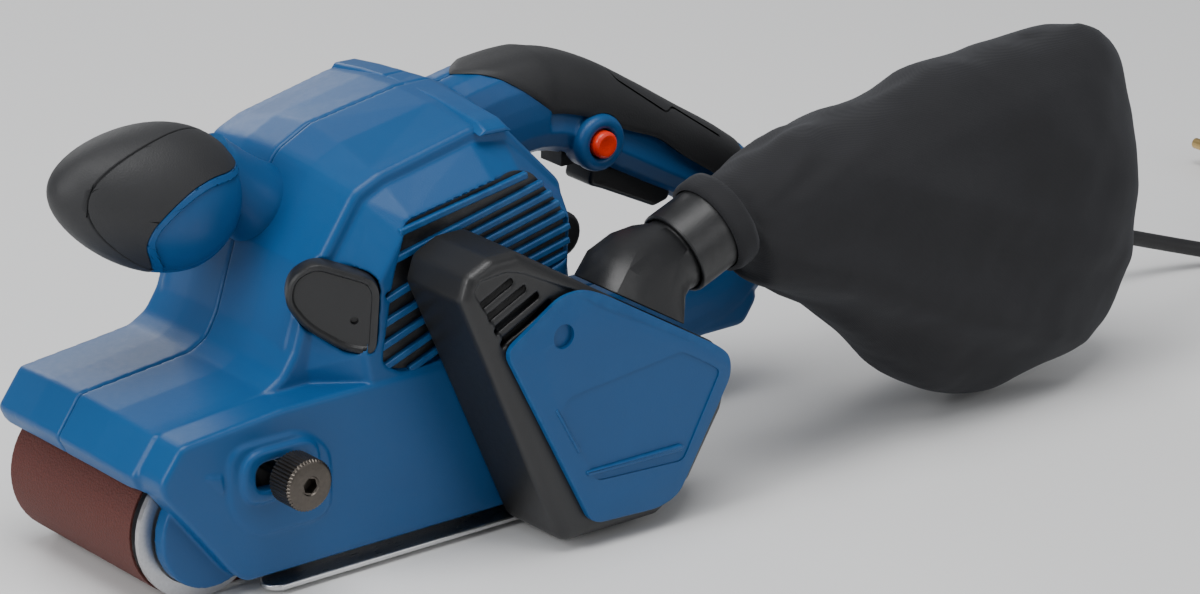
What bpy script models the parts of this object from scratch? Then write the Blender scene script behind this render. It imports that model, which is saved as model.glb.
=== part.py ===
"""Handheld belt sander, 76 x 457 mm belt, built as separate named pieces.

Frame: +X towards the front roller, +Y the side with the drive cover, +Z up.
The origin is the middle of the belt's flat sole. Dimensions below are in
millimetres, and MM turns them into metres where a mesh is made.
"""
import bpy
import bmesh
from math import acos, atan2, ceil, cos, pi, radians, sin
from mathutils import Vector

MM = 0.001
GAP = 0.3                     # air left between pieces that touch

# sanding belt and rollers
BELT_LENGTH = 457.0
BELT_HALF = 38.0
BELT_IN = 26.0                # radius of the belt's inner face round a roller
BELT_OUT = 27.0
AXLE_X = (BELT_LENGTH - pi * (BELT_IN + BELT_OUT)) / 4.0
AXLE_Z = BELT_OUT
ROLLER_HALF = 36.6
DRIVE_R = 25.7
IDLER_R = 25.4

# motor, across the tool
MOTOR_X, MOTOR_Z = -36.0, 97.0
SHAFT_R = 4.0
PINION_R = 5.0
PULLEY_R = 17.2
TOOTHED_Y = (67.5, 77.5)

# casing
SIDE_Y = 44.0                 # side of the hood and tower
SKIRT_Y = 58.0                # outer face of the left skirt
ROLLER_DISC_R = 21.0          # blue disc that covers the front roller's left end
BOSS_Y = 57.0                 # left end of the motor casing
RIGHT_BOSS_Y = -56.0
WALL = 3.0
COVER_BACK_Y, COVER_FACE_Y = 58.3, 92.0
COVER_WALL = 2.6

# handle
HANDLE_HALF = 16.0
GRIP_THICK = 2.6
TRIGGER_PIVOT = (-128.0, 0.0, 103.0)
LOCK_AT = (-124.0, 119.0)
LOCK_R = 5.3

# tracking and tension
KNOB_X, KNOB_Z = 50.0, 47.0
YOKE_PIVOT_X = 36.0
LEVER_PIVOT = (-12.0, -41.4)

# dust outlet: collar's front centre, axis tilted up towards the rear
OUTLET_AT = Vector((-118.0, 66.0, 90.5))
OUTLET_TILT = radians(21.7)
OUTLET_AXIS = Vector((-cos(OUTLET_TILT), 0.0, sin(OUTLET_TILT)))
OUTLET_R = 14.2
COLLAR_R = 16.2
COLLAR_LENGTH = 18.0

# louvre slots in the drive cover
COVER_SLOTS = 4
SLOT_WIDTH = 2.8

# mains cord
CORD_D = 6.2
CORD_LENGTH = 2600.0          # from the guard to the plug, most of it wound in the coil
COIL_MID_R = 34.0
COIL_COLUMNS = 3
COIL_AT = (-500.0, 42.0)


# ---------------------------------------------------------------- helpers
def rounded(points, radius, steps=3):
    """A closed 2-D outline with each corner replaced by an arc."""
    out = []
    count = len(points)
    for i, point in enumerate(points):
        r = radius[i] if isinstance(radius, (list, tuple)) else radius
        here = Vector(point)
        before = Vector(points[i - 1]) - here
        after = Vector(points[(i + 1) % count]) - here
        half = acos(max(-1.0, min(1.0, before.normalized().dot(after.normalized())))) / 2
        if r <= 0:
            out.append(tuple(here))
            continue
        reach = r * abs(cos(half)) / max(0.05, sin(half))
        reach = min(max(reach, 0.05), 0.45 * before.length, 0.45 * after.length)
        start = here + before.normalized() * reach
        end = here + after.normalized() * reach
        for k in range(steps + 1):
            t = k / steps
            out.append(tuple(start * (1 - t) ** 2 + here * 2 * t * (1 - t) + end * t ** 2))
    return out


def inset(points, distance):
    """A closed 2-D outline moved inwards by distance."""
    area = sum(a[0] * b[1] - b[0] * a[1] for a, b in zip(points, points[1:] + points[:1]))
    side = 1.0 if area > 0 else -1.0
    out = []
    count = len(points)
    for i in range(count):
        a, b, c = (Vector(points[i - 1]), Vector(points[i]), Vector(points[(i + 1) % count]))
        n1 = Vector((-(b - a).y, (b - a).x)).normalized() * side
        n2 = Vector((-(c - b).y, (c - b).x)).normalized() * side
        n = n1 + n2
        out.append(tuple(b + n * (distance / max(0.35, n.length_squared / 2))))
    return out


def circle(cx, cy, r, count=24, start=0.0, sweep=360.0):
    """Points on a circle, or on an arc when sweep is under 360 degrees."""
    last = count if sweep >= 360.0 else count - 1
    return [(cx + r * cos(radians(start + sweep * k / last)), cy + r * sin(radians(start + sweep * k / last)))
            for k in range(count)]


def belt_loop(c1, r1, c2, r2, count=12):
    """Outline of a belt round two circles, c1 being the one at larger x."""
    c1, c2 = Vector(c1), Vector(c2)
    line = c2 - c1
    base = atan2(line.y, line.x)
    lean = acos((r1 - r2) / line.length)
    first = [base + lean + (2 * pi - 2 * lean) * k / count for k in range(count + 1)]
    second = [base - lean + 2 * lean * k / count for k in range(count + 1)]
    loop = [tuple(c1 + Vector((cos(a), sin(a))) * r1) for a in first]
    return loop + [tuple(c2 + Vector((cos(a), sin(a))) * r2) for a in second]


def xz(points, y):
    """Outline points (x, z) as a loop in the plane of constant y."""
    return [(p[0], y, p[1]) for p in points]


def loft(loops, ring=False):
    """Skin over loops of equal length, with end caps unless ring is set."""
    bm = bmesh.new()
    rows = [[bm.verts.new(Vector(p) * MM) for p in loop] for loop in loops]
    pairs = list(zip(rows, rows[1:] + rows[:1])) if ring else list(zip(rows, rows[1:]))
    for low, high in pairs:
        for i in range(len(low)):
            j = (i + 1) % len(low)
            bm.faces.new((low[i], low[j], high[j], high[i]))
    if not ring:
        bm.faces.new(rows[0])
        bm.faces.new(list(reversed(rows[-1])))
    return bm


def prism(points, y0, y1):
    return loft([xz(points, y0), xz(points, y1)])


def soft_prism(points, y0, y1, r0=0.0, r1=0.0, steps=3):
    """A prism along y whose two rims are rounded by r0 and r1."""
    loops = []
    for k in range(steps + 1 if r0 else 1):
        a = pi / 2 * k / steps if r0 else pi / 2
        loops.append(xz(inset(points, r0 * (1 - sin(a))), y0 + r0 * (1 - cos(a)) if r0 else y0))
    for k in range(steps + 1 if r1 else 1):
        a = pi / 2 * k / steps if r1 else 0.0
        loops.append(xz(inset(points, r1 * (1 - cos(a))), y1 - r1 * (1 - sin(a)) if r1 else y1))
    return loft(loops)


def ring_prism(outer, inner, y0, y1):
    """A band with equal point counts on its outer and inner outlines."""
    return loft([xz(outer, y0), xz(outer, y1), xz(inner, y1), xz(inner, y0)], ring=True)


def box(lo, hi):
    points = [(lo[0], lo[2]), (hi[0], lo[2]), (hi[0], hi[2]), (lo[0], hi[2])]
    return prism(points, lo[1], hi[1])


def lathe(profile, centre, axis, count=24):
    """Turn a closed profile of (along, radius) points about an axis through centre."""
    axis = Vector(axis).normalized()
    side = axis.orthogonal().normalized()
    other = axis.cross(side)
    bm = bmesh.new()
    rows = []
    for along, radius in profile:
        middle = Vector(centre) + axis * along
        if radius < 1e-6:
            rows.append([bm.verts.new(middle * MM)])
            continue
        angles = [2 * pi * k / count for k in range(count)]
        rows.append([bm.verts.new((middle + (side * cos(a) + other * sin(a)) * radius) * MM) for a in angles])
    for low, high in zip(rows, rows[1:] + rows[:1]):
        if len(low) == 1 and len(high) == 1:
            continue
        for i in range(count):
            j = (i + 1) % count
            corners = [low[i % len(low)], low[j % len(low)], high[j % len(high)], high[i % len(high)]]
            bm.faces.new(list(dict.fromkeys(corners)))
    return bm


def tube(centre, axis, length, r_out, r_in, count=24):
    return lathe([(0, r_in), (0, r_out), (length, r_out), (length, r_in)], centre, axis, count)


def rod(centre, axis, length, r, count=20):
    return lathe([(0, 0), (0, r), (length, r), (length, 0)], centre, axis, count)


def material(name, colour, roughness, metallic=0.0):
    mat = bpy.data.materials.get(name) or bpy.data.materials.new(name)
    mat.use_nodes = True
    shader = mat.node_tree.nodes["Principled BSDF"]
    shader.inputs["Base Color"].default_value = (*colour, 1.0)
    shader.inputs["Roughness"].default_value = roughness
    shader.inputs["Metallic"].default_value = metallic
    mat.diffuse_color = (*colour, 1.0)
    return mat


def add(name, bm, mat, origin=(0.0, 0.0, 0.0), sharp=35.0):
    """Make the named object, with its origin at the given point."""
    bmesh.ops.remove_doubles(bm, verts=bm.verts, dist=1e-6)
    bmesh.ops.recalc_face_normals(bm, faces=bm.faces)
    origin = Vector(origin) * MM
    bmesh.ops.translate(bm, verts=bm.verts, vec=-origin)
    mesh = bpy.data.meshes.new(name)
    bm.to_mesh(mesh)
    bm.free()
    mesh.materials.append(mat)
    mesh.shade_smooth()
    mesh.set_sharp_from_angle(angle=radians(sharp))
    obj = bpy.data.objects.new(name, mesh)
    obj.location = origin
    bpy.context.scene.collection.objects.link(obj)
    return obj


def weld(mesh):
    """Join points under 3 micrometres apart, so that the next Boolean gets a clean surface."""
    bm = bmesh.new()
    bm.from_mesh(mesh)
    bmesh.ops.remove_doubles(bm, verts=bm.verts, dist=3e-6)
    bmesh.ops.dissolve_degenerate(bm, edges=bm.edges, dist=3e-6)
    bm.to_mesh(mesh)
    bm.free()


def boolean(obj, operation, shapes, sharp=35.0):
    """Apply union, difference or intersection with scratch shapes, then drop them."""
    for bm in shapes:
        helper = add("helper", bm, obj.data.materials[0])
        modifier = obj.modifiers.new("bool", "BOOLEAN")
        modifier.operation = operation
        modifier.solver = "EXACT"
        modifier.object = helper
        bpy.context.view_layer.update()
        graph = bpy.context.evaluated_depsgraph_get()
        mesh = bpy.data.meshes.new_from_object(obj.evaluated_get(graph))
        obj.modifiers.clear()
        weld(mesh)
        old = obj.data
        obj.data = mesh
        mesh.name = obj.name
        bpy.data.meshes.remove(old)
        bpy.data.objects.remove(helper)
    obj.data.set_sharp_from_angle(angle=radians(sharp))
    return obj


def clear_scene():
    for obj in list(bpy.data.objects):
        bpy.data.objects.remove(obj)


# ---------------------------------------------------------------- materials
BLUE = ("blue_plastic", (0.008, 0.085, 0.25), 0.38)
BLACK = ("black_plastic", (0.018, 0.019, 0.021), 0.5)
RUBBER = ("black_rubber", (0.02, 0.02, 0.022), 0.65)
ALUMINIUM = ("cast_aluminium", (0.55, 0.56, 0.57), 0.4, 1.0)
STEEL = ("steel", (0.45, 0.45, 0.46), 0.3, 1.0)
DARK_STEEL = ("dark_steel", (0.14, 0.13, 0.12), 0.42, 1.0)
BRASS = ("brass", (0.7, 0.5, 0.2), 0.35, 1.0)
COPPER = ("copper", (0.7, 0.3, 0.15), 0.4, 1.0)
GRIT = ("abrasive", (0.16, 0.03, 0.02), 0.9)
CLOTH = ("bag_cloth", (0.022, 0.022, 0.023), 0.9)
RED = ("red_plastic", (0.7, 0.02, 0.01), 0.3)
CORK = ("cork", (0.35, 0.2, 0.1), 0.9)
CARBON = ("carbon", (0.03, 0.03, 0.03), 0.6)


def mat(spec):
    return material(*spec)


# ---------------------------------------------------------------- casing
# (x, z) points of the hood and tower, at the middle and at the side
MIDDLE = [(100, 47.5), (103.5, 54), (93.5, 68), (60, 71.5), (47, 73), (40, 77), (35.5, 85), (26.5, 113),
          (8, 140), (-6, 147), (-44, 153), (-60, 153), (-87, 124), (-92, 64), (-104, 61), (-111, 52),
          (-109, 43)]
SIDE = [(99, 46.5), (101.5, 52), (91.5, 65.5), (58, 69), (45, 70.5), (38, 74.5), (33, 82), (24, 110),
        (6, 136), (-5, 140.5), (-45, 149), (-58, 149), (-86, 120), (-92, 64), (-104, 61), (-111, 52),
        (-109, 43)]
# the side of the tower, and the left end of the motor casing
TOWER = [(37, 66), (33, 84), (24, 110), (6, 136), (-5, 140.5), (-45, 149), (-60, 146), (-88, 118), (-90, 66)]
BOSS = [(10, 66), (13, 80), (7, 106), (-4, 122), (-9, 126), (-45, 133), (-58, 132), (-80, 112), (-78, 66)]
SKIRT = [(97, 47), (99, 53), (90, 65), (48, 69), (-92, 69), (-104, 52), (-98, 8), (64, 8), (70, 13)]


def roof(radius):
    """Underside of the casing, round both rollers from rear to front."""
    return circle(-AXLE_X, AXLE_Z, radius, 6, 150, -60) + circle(AXLE_X, AXLE_Z, radius, 6, 90, -52)


def casing_loops(y_list, blend, shrink):
    """Loops of the hood and tower from the middle section to the side."""
    loops = []
    for y, t, s in zip(y_list, blend, shrink):
        outline = [(a[0] * (1 - t) + b[0] * t, a[1] * (1 - t) + b[1] * t) for a, b in zip(MIDDLE, SIDE)]
        outline = rounded(outline, [0, 2, 3, 0, 8, 8, 8, 0, 9, 6, 0, 5, 8, 0, 3, 3, 0], 2)
        under = roof(BELT_OUT + 3.0)
        loops.append(xz(inset(outline + under, s)[:len(outline)] + under, y))
    return loops


def handle_path():
    """Centre line of the D-handle in (x, z), from the tower round to the deck."""
    return [(-66, 131), (-84, 135), (-103, 136), (-120, 131), (-140, 120), (-160, 108), (-180, 96),
            (-195, 84), (-201, 68), (-196, 52), (-182, 43), (-160, 41), (-130, 42), (-96, 46)]


def handle_frames():
    """Smooth centre line as (point, outward normal) pairs in (x, z)."""
    points = [Vector(p) for p in handle_path()]
    frames = []
    steps = 2
    for i in range(len(points) - 1):
        p0, p1, p2, p3 = (points[max(i - 1, 0)], points[i], points[i + 1], points[min(i + 2, len(points) - 1)])
        for k in range(steps):
            t = k / steps
            p = 0.5 * (2 * p1 + (p2 - p0) * t + (2 * p0 - 5 * p1 + 4 * p2 - p3) * t ** 2
                       + (3 * p1 - p0 - 3 * p2 + p3) * t ** 3)
            frames.append(p)
    frames.append(points[-1])
    out = []
    for i, p in enumerate(frames):
        ahead = frames[min(i + 1, len(frames) - 1)] - frames[max(i - 1, 0)]
        ahead.normalize()
        out.append((p, Vector((ahead.y, -ahead.x))))
    return out


def handle_half_height(i, count):
    """Half height of the handle's section along its length."""
    t = i / (count - 1)
    return 20.5 - 5.5 * min(1.0, t / 0.5)


GRIP_FIRST, GRIP_LAST = 4, 13          # handle frames where the soft grip starts and ends
GRIP_REACH = 108.0                     # half angle of the grip's seat, from the outward side
GRIP_EDGE = 97.0                       # half angle that the grip wraps


def handle_section(half_height, depth_on_grip, count=20):
    """Section points as (outward, across) offsets, set in where the grip lies."""
    out = []
    for k in range(count):
        a = 2 * pi * (k + 0.5) / count - pi
        scale = (abs(cos(a)) ** 3.0 + abs(sin(a)) ** 3.0) ** (-1 / 3.0)
        drop = depth_on_grip if abs(a) < radians(GRIP_REACH) else 0.0
        out.append(((half_height - drop) * cos(a) * scale, (HANDLE_HALF - drop) * sin(a) * scale))
    return out


def handle_core():
    """The blue core of the handle, with a step where the soft grip sits."""
    frames = handle_frames()
    loops = []
    for i, (p, n) in enumerate(frames):
        inside = GRIP_FIRST <= i <= GRIP_LAST
        depths = [GRIP_THICK + 0.7 if inside else 0.0]
        if i == GRIP_FIRST:
            depths = [0.0, GRIP_THICK + 0.7]
        if i == GRIP_LAST:
            depths = [GRIP_THICK + 0.7, 0.0]
        for j, depth in enumerate(depths):
            along = Vector((-n.y, n.x)) * 0.2 * j
            loop = []
            for u, v in handle_section(handle_half_height(i, len(frames)), depth):
                q = p + n * u + along
                loop.append((q.x, v, q.y))
            loops.append(loop)
    return loft(loops)


def handle_grip():
    """Soft grip: a thin shell over the top and sides of the handle."""
    frames = handle_frames()
    count = 16
    loops = []
    for i in range(GRIP_FIRST, GRIP_LAST + 1):
        p, n = frames[i]
        shift = GAP if i == GRIP_FIRST else (-GAP if i == GRIP_LAST else 0.0)
        along = Vector((n.y, -n.x)) * -shift
        half_height = handle_half_height(i, len(frames))
        outer, inner = [], []
        for k in range(count):
            a = radians(GRIP_EDGE) * (2 * k / (count - 1) - 1)
            scale = (abs(cos(a)) ** 3.0 + abs(sin(a)) ** 3.0) ** (-1 / 3.0)
            for row, drop in ((outer, 0.0), (inner, GRIP_THICK)):
                q = p + along + n * ((half_height - drop) * cos(a) * scale)
                row.append((q.x, (HANDLE_HALF - drop) * sin(a) * scale, q.y))
        loops.append(outer + inner[::-1])
    return loft(loops)


def motor_boss(y_end):
    """Side of the tower drawn out to the end of the motor."""
    side = 1.0 if y_end > 0 else -1.0
    start = rounded(TOWER, 5, 2)
    end = rounded(BOSS, 4, 2)
    return loft([xz(start, side * 30.0), xz(start, side * 38.0), xz(end, y_end - side * 2.0),
                 xz(inset(end, 2.0), y_end)])


def boss_cavity(y_end):
    side = 1.0 if y_end > 0 else -1.0
    start = inset(TOWER, WALL + 0.5)
    end = inset(BOSS, WALL + 1.5)
    return loft([xz(start, side * 34.0), xz(start, side * 38.0), xz(end, y_end - side * WALL)])


def inner_cavity():
    """Room inside the hood and tower for the motor, wiring and air."""
    outline = [(84, 61), (82, 63.5), (56, 66), (38, 68), (31, 82), (22, 110), (4, 135), (-7, 138),
               (-46, 146), (-57, 146), (-82, 119), (-88, 66), (-88, 61)]
    return loft([xz(outline, y) for y in (-40.5, 40.5)])


def vent_slots(y0, y1):
    """Slanted louvre slots in the end of the motor casing."""
    slots = []
    for k in range(7):
        cx, cz = -14.0 - 8.2 * k, 119.0 - 0.4 * k
        length = (13, 18, 22, 20, 17, 14, 10)[k]
        lean = Vector((-0.50, -0.866))
        a = Vector((cx, cz))
        b = a + lean * length
        w = Vector((lean.y, -lean.x)) * 1.6
        slots.append(prism([tuple(a + w), tuple(a - w), tuple(b - w), tuple(b + w)], y0, y1))
    for k in range(4):
        a = Vector((2.0 - 1.2 * k, 99.0 - 8.0 * k))
        b = a + Vector((-0.93, 0.36)) * 12.0
        w = Vector((0.36, 0.93)) * 1.6
        slots.append(prism([tuple(a + w), tuple(b + w), tuple(b - w), tuple(a - w)], y0, y1))
    return slots


def casing(side):
    """One half of the casing; side is +1 for left, -1 for right."""
    name = "housing_left" if side > 0 else "housing_right"
    ys = [side * y for y in (-2.0, 0.0, 20.0, 38.0, 42.5, SIDE_Y)]
    obj = add(name, loft(casing_loops(ys, (0, 0, 0.3, 1, 1, 1), (0, 0, 0, 0, 0.6, 2.2))), mat(BLUE))
    boss_end = BOSS_Y if side > 0 else RIGHT_BOSS_Y
    joins = [motor_boss(boss_end), handle_core()]
    deck = rounded([(-88, 66), (-88, 30), (-108, 30), (-196, 30), (-203, 40), (-196, 56), (-120, 57)], 5, 2)
    joins.append(soft_prism(deck, -HANDLE_HALF + 1, HANDLE_HALF - 1, 3, 3))
    if side > 0:
        joins.append(soft_prism(rounded(SKIRT, 5, 2), SIDE_Y - 6.0, SKIRT_Y, 0, 2.0))
        lock_x, lock_z = LOCK_AT
        joins.append(lathe([(0, 0), (0, 10.5), (17.5, 10.5), (18.5, 9.0), (18.5, 0)], (lock_x, 0, lock_z),
                           (0, 1, 0), 24))
    boolean(obj, "UNION", joins)
    other_side = box((-260, -70 * side, -5), (130, GAP / 2 * side, 175))
    cuts = [other_side, inner_cavity(), boss_cavity(boss_end)]
    cuts.append(belt_space(side))
    cuts += handle_cuts()
    cuts += motor_cuts(side)
    if side > 0:
        cuts += skirt_cuts()
        cuts += vent_slots(BOSS_Y - WALL - 3, BOSS_Y + 2)
    boolean(obj, "DIFFERENCE", cuts)
    if side > 0:
        boolean(obj, "UNION", [rod((AXLE_X, SIDE_Y + 0.2, AXLE_Z), (0, 1, 0), 5.8, ROLLER_DISC_R, 40)])


def belt_space(side):
    """Clear room round the sanding belt, open on the right."""
    outline = belt_loop((AXLE_X, AXLE_Z), BELT_OUT + 3, (-AXLE_X, AXLE_Z), BELT_OUT + 3, 12)
    return prism(outline, -SIDE_Y - 20 if side < 0 else -2, SIDE_Y - 0.2 if side > 0 else 2)


def handle_cuts():
    """Room in the handle for the switch, the trigger, the lock button and the cord."""
    x, z = LOCK_AT
    cuts = [box((-153, -8, 104), (-112, 8, 126)),
            box((-169, -8.6, 80), (-124.5, 8.6, 108)),
            rod((x, 0, z), (0, 1, 0), 30, LOCK_R + 0.4, 24),
            rod((-190, 0, 84), (-1, 0, -0.25), 30, CORD_D / 2 + 2.6, 16)]
    return cuts


def motor_cuts(side):
    """Seats for the motor bearings, the shaft hole and the brush caps."""
    cuts = []
    if side > 0:
        cuts.append(rod((MOTOR_X, 50, MOTOR_Z), (0, 1, 0), 20, 7.0, 24))
    cuts.append(brush_seat())
    cuts.append(prism(circle(-84, 100, 9.3, 20), 28.0, 47.0))
    return cuts


def brush_seat():
    """Pocket across the front left corner of the tower for the brush cover."""
    return brush_block(GAP)


def brush_block(grow):
    """Block of the brush cover, standing on the slanted corner of the tower."""
    along = Vector((26.0, -16.0, 0.0)).normalized()
    out = Vector((16.0, 26.0, 0.0)).normalized()
    origin = Vector((7.0, 55.0, 94.0))
    outline = [(-1, -15), (10, -13), (24, -4), (31, 6), (29, 16), (20, 21), (-3, 13)]
    outline = inset(rounded(outline, 6, 2), -grow)
    loops = []
    for depth in (-4.0 - grow, 3.0):
        loops.append([tuple(origin + along * a + Vector((0, 0, b)) + out * depth) for a, b in outline])
    return loft(loops)


def skirt_cuts():
    """Room inside the left skirt, the knob's slot, and the shaft's way out."""
    outline = inset(SKIRT, WALL)
    slot = rounded([(38.2, 41.8), (68, 41.8), (68, 52.2), (38.2, 52.2)], 5, 3)
    below = prism([(-120, -5), (110, -5), (110, 4), (-120, 4)], 35, 70)
    return [prism(outline, 30.0, SKIRT_Y - WALL), prism(slot, 50, 62), below,
            rod((-AXLE_X, 50, AXLE_Z), (0, 1, 0), 20, 17.0, 28)]


# ---------------------------------------------------------------- outside pieces
KNOB_TILT = radians(15.6)
KNOB_AXIS = Vector((cos(KNOB_TILT), 0.0, sin(KNOB_TILT)))
KNOB_CENTRE = Vector((65.0, 0.0, 134.9))
KNOB_LONG, KNOB_WIDE, KNOB_TALL = 38.3, 25.0, 25.8     # half sizes of the egg-shaped front knob
KNOB_TAPER = -0.25                                     # the egg is slimmer towards its front end
KNOB_SEAM = [(8, 143), (39, 143.4), (50, 144.4), (60, 142.3), (69, 137), (75, 131), (76.5, 124),
             (72, 116), (66, 108), (60, 98), (8, 98)]
NECK_FOOT = Vector((17.6, 0.0, 122.0))                 # where the neck meets the front wall
NECK_AXIS = Vector((0.738, 0.0, 0.675))
BOLT_HOLE_R = 4.0


def knob_egg():
    """Closed egg of the front knob, with flat little ends."""
    up = Vector((-KNOB_AXIS.z, 0, KNOB_AXIS.x))
    loops = []
    for t in (-80, -66, -50, -33, -16, 0, 16, 33, 50, 66, 80):
        u = sin(radians(t))
        scale = cos(radians(t)) * (1 + KNOB_TAPER * u)
        centre = KNOB_CENTRE + KNOB_AXIS * (KNOB_LONG * u)
        loops.append([tuple(centre + Vector((0, KNOB_WIDE * scale * cos(a), 0)) + up * (KNOB_TALL * scale * sin(a)))
                      for a in (2 * pi * k / 28 for k in range(28))])
    return loft(loops)


def knob_neck():
    """Oval neck from the front wall into the knob."""
    loops = []
    for along, wide, tall, lean in ((-4.0, 12.5, 10.5, 1.0), (7.0, 11.5, 10.0, 0.8), (15.0, 12.5, 10.0, 0.5),
                                    (24.0, 13.0, 9.0, 0.3)):
        axis = (NECK_AXIS * lean + Vector((1, 0, 0)) * (1 - lean)).normalized()
        up = Vector((-axis.z, 0, axis.x))
        centre = NECK_FOOT + Vector((0.95, 0, 0.31)) * along
        loops.append([tuple(centre + Vector((0, wide * cos(a), 0)) + up * (tall * sin(a)))
                      for a in (2 * pi * k / 24 for k in range(24))])
    return loft(loops)


def front_knob():
    seam = rounded(KNOB_SEAM, 5, 3)
    base = add("front_knob_base", knob_egg(), mat(BLUE))
    boolean(base, "INTERSECT", [prism(seam, -40, 40)])
    boolean(base, "UNION", [knob_neck()])
    wall = rounded(MIDDLE, [0, 2, 3, 0, 8, 8, 8, 0, 9, 6, 0, 5, 8, 0, 3, 3, 0], 2)
    boolean(base, "DIFFERENCE", [rod(NECK_FOOT - NECK_AXIS * 3, NECK_AXIS, 24, BOLT_HOLE_R, 16),
                                 prism(inset(wall, -2 * GAP), -40, 40)])
    grip = add("front_knob_grip", knob_egg(), mat(RUBBER))
    boolean(grip, "DIFFERENCE", [prism(inset(seam, -GAP), -40, 40)])
    add("front_knob_bolt", rod(NECK_FOOT + NECK_AXIS * 7, NECK_AXIS, 13, BOLT_HOLE_R - GAP, 16), mat(STEEL))


COVER = [(-49, 4), (-5, 105), (-8, 114), (-18, 118.5), (-30, 118.5), (-66, 96), (-119, 64), (-126, 54),
         (-122, 38), (-107, 14), (-92, 4)]
BADGE = [(-24, 84), (-47, 97.5), (-56, 98.5), (-65, 94.5), (-115, 64.5), (-121.5, 60), (-122, 51),
         (-99, 12), (-90, 8.5), (-60, 9.5)]
LUGS = ((-119.0, 26.5), (-106.5, 9.5))


def drive_cover():
    outline = rounded(COVER, 5, 3)
    obj = add("drive_cover", soft_prism(outline, COVER_BACK_Y, COVER_FACE_Y, 0, 4.0), mat(BLACK))
    lugs = [rod((x, 66, z), (0, 1, 0), 14, 6.0, 20) for x, z in LUGS]
    boolean(obj, "UNION", lugs)
    inner = [p for p in inset(COVER, COVER_WALL) if p[0] > -100]
    inner += [(-100, 72), (-100, 12)]
    inner.sort(key=lambda p: atan2(p[1] - 60, p[0] + 62))
    cuts = [prism(inner, 50, COVER_FACE_Y - COVER_WALL)]
    cuts += [rod((x, 77.4, z), (0, 1, 0), 4, 3.9, 16) for x, z in LUGS]
    for k in range(COVER_SLOTS):
        share = k / (COVER_SLOTS - 1)
        start = Vector((-13.5, 102.2)).lerp(Vector((-21.4, 86.2)), share)
        end = Vector((-27.5, 108.8)).lerp(Vector((-44.5, 97.2)), share)
        wide = (end - start).normalized() * SLOT_WIDTH / 2
        wide = Vector((-wide.y, wide.x))
        cuts.append(prism([tuple(start + wide), tuple(start - wide), tuple(end - wide), tuple(end + wide)],
                          80, 95))
    boolean(obj, "DIFFERENCE", cuts)
    badge = soft_prism(rounded(BADGE, 5, 3), COVER_FACE_Y + GAP, COVER_FACE_Y + 3.2, 0, 1.2)
    plate = add("badge_plate", badge, mat(BLUE))
    boolean(plate, "DIFFERENCE", [rod((-46.5, 93.8, 84.5), (0, 1, 0), 4, 4.8, 24)])
    for k, (x, z) in enumerate(LUGS):
        add(f"cover_screw_{k + 1}", rod((x, 77.7, z), (0, 1, 0), 3.3, 3.6, 16), mat(STEEL))


def dust_outlet():
    """Horn from the cover's rear top to the round outlet, with its bore."""
    foot_a, foot_b = Vector((-70.0, 94.2)), Vector((-112.0, 68.8))
    slope = (foot_b - foot_a).normalized()
    normal = Vector((slope.y, -slope.x))
    if normal.y < 0:
        normal = -normal
    middle = (foot_a + foot_b) / 2 + normal * 0.9
    middle_3d = Vector((middle.x, 75.0, middle.y))
    along = Vector((slope.x, 0, slope.y))
    across = Vector((0, 1, 0))
    loops = []
    count = 24
    axis = OUTLET_AXIS
    up = Vector((axis.z, 0, -axis.x))
    end = OUTLET_AT
    stations = [(0.0, 21.0, 14.5), (0.25, 20.0, 14.5), (0.55, 16.5, 14.6), (0.8, 14.6, 14.4), (1.0, 14.2, 14.2)]
    for t, a_half, b_half in stations:
        centre = middle_3d * (1 - t) ** 2 + (middle_3d + Vector((-9, -5, 13))) * 2 * t * (1 - t) + end * t ** 2
        u = (along * (1 - t) + -up * t).normalized()
        power = 2.0 + 2.5 * (1 - t)
        loop = []
        for k in range(count):
            ang = 2 * pi * k / count
            scale = (abs(cos(ang)) ** power + abs(sin(ang)) ** power) ** (-1 / power)
            loop.append(tuple(centre + u * (a_half * cos(ang) * scale) + across * (b_half * sin(ang) * scale)))
        loops.append(loop)
    loops.append([tuple(Vector(p) + axis * 14.0) for p in loops[-1]])
    obj = add("dust_outlet", loft(loops), mat(BLACK))
    boolean(obj, "DIFFERENCE", [rod(end - axis * 12, axis, 40, OUTLET_R - 2.2, 20)])
    add("bag_collar", tube(end + axis * 1.0, axis, COLLAR_LENGTH, COLLAR_R, OUTLET_R + GAP, 28), mat(BLACK),
        OUTLET_AT)


def dust_bag():
    """Plain solid of the filled bag, from the collar to its rear seam."""
    start = OUTLET_AT + OUTLET_AXIS * (COLLAR_LENGTH + 1.0 + GAP)
    count = 24
    stations = [(-153, 99, 23, 21, 66), (-175, 96, 31, 26, 65), (-205, 87, 46, 30, 64), (-235, 77, 61, 33, 63),
                (-265, 73, 68, 34, 62), (-295, 75, 69, 33, 62), (-320, 78, 66, 28, 62), (-337, 76, 57, 20, 62),
                (-345, 74, 44, 9, 62)]
    up = Vector((OUTLET_AXIS.z, 0, -OUTLET_AXIS.x))
    loops = []
    for reach, radius in ((0.0, 14.0), (4.0, 17.5)):
        centre = start + OUTLET_AXIS * reach
        loops.append([tuple(centre + up * (radius * cos(a)) + Vector((0, 1, 0)) * (radius * sin(a)))
                      for a in (2 * pi * k / count for k in range(count))])
    for x, z, tall, thick, y in stations:
        loop = []
        for k in range(count):
            a = 2 * pi * k / count
            scale = (abs(cos(a)) ** 2.4 + abs(sin(a)) ** 2.4) ** (-1 / 2.4)
            loop.append((x, y + thick * sin(a) * scale, z + tall * cos(a) * scale))
        loops.append(loop)
    add("dust_bag", loft(loops), mat(CLOTH), OUTLET_AT)


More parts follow.
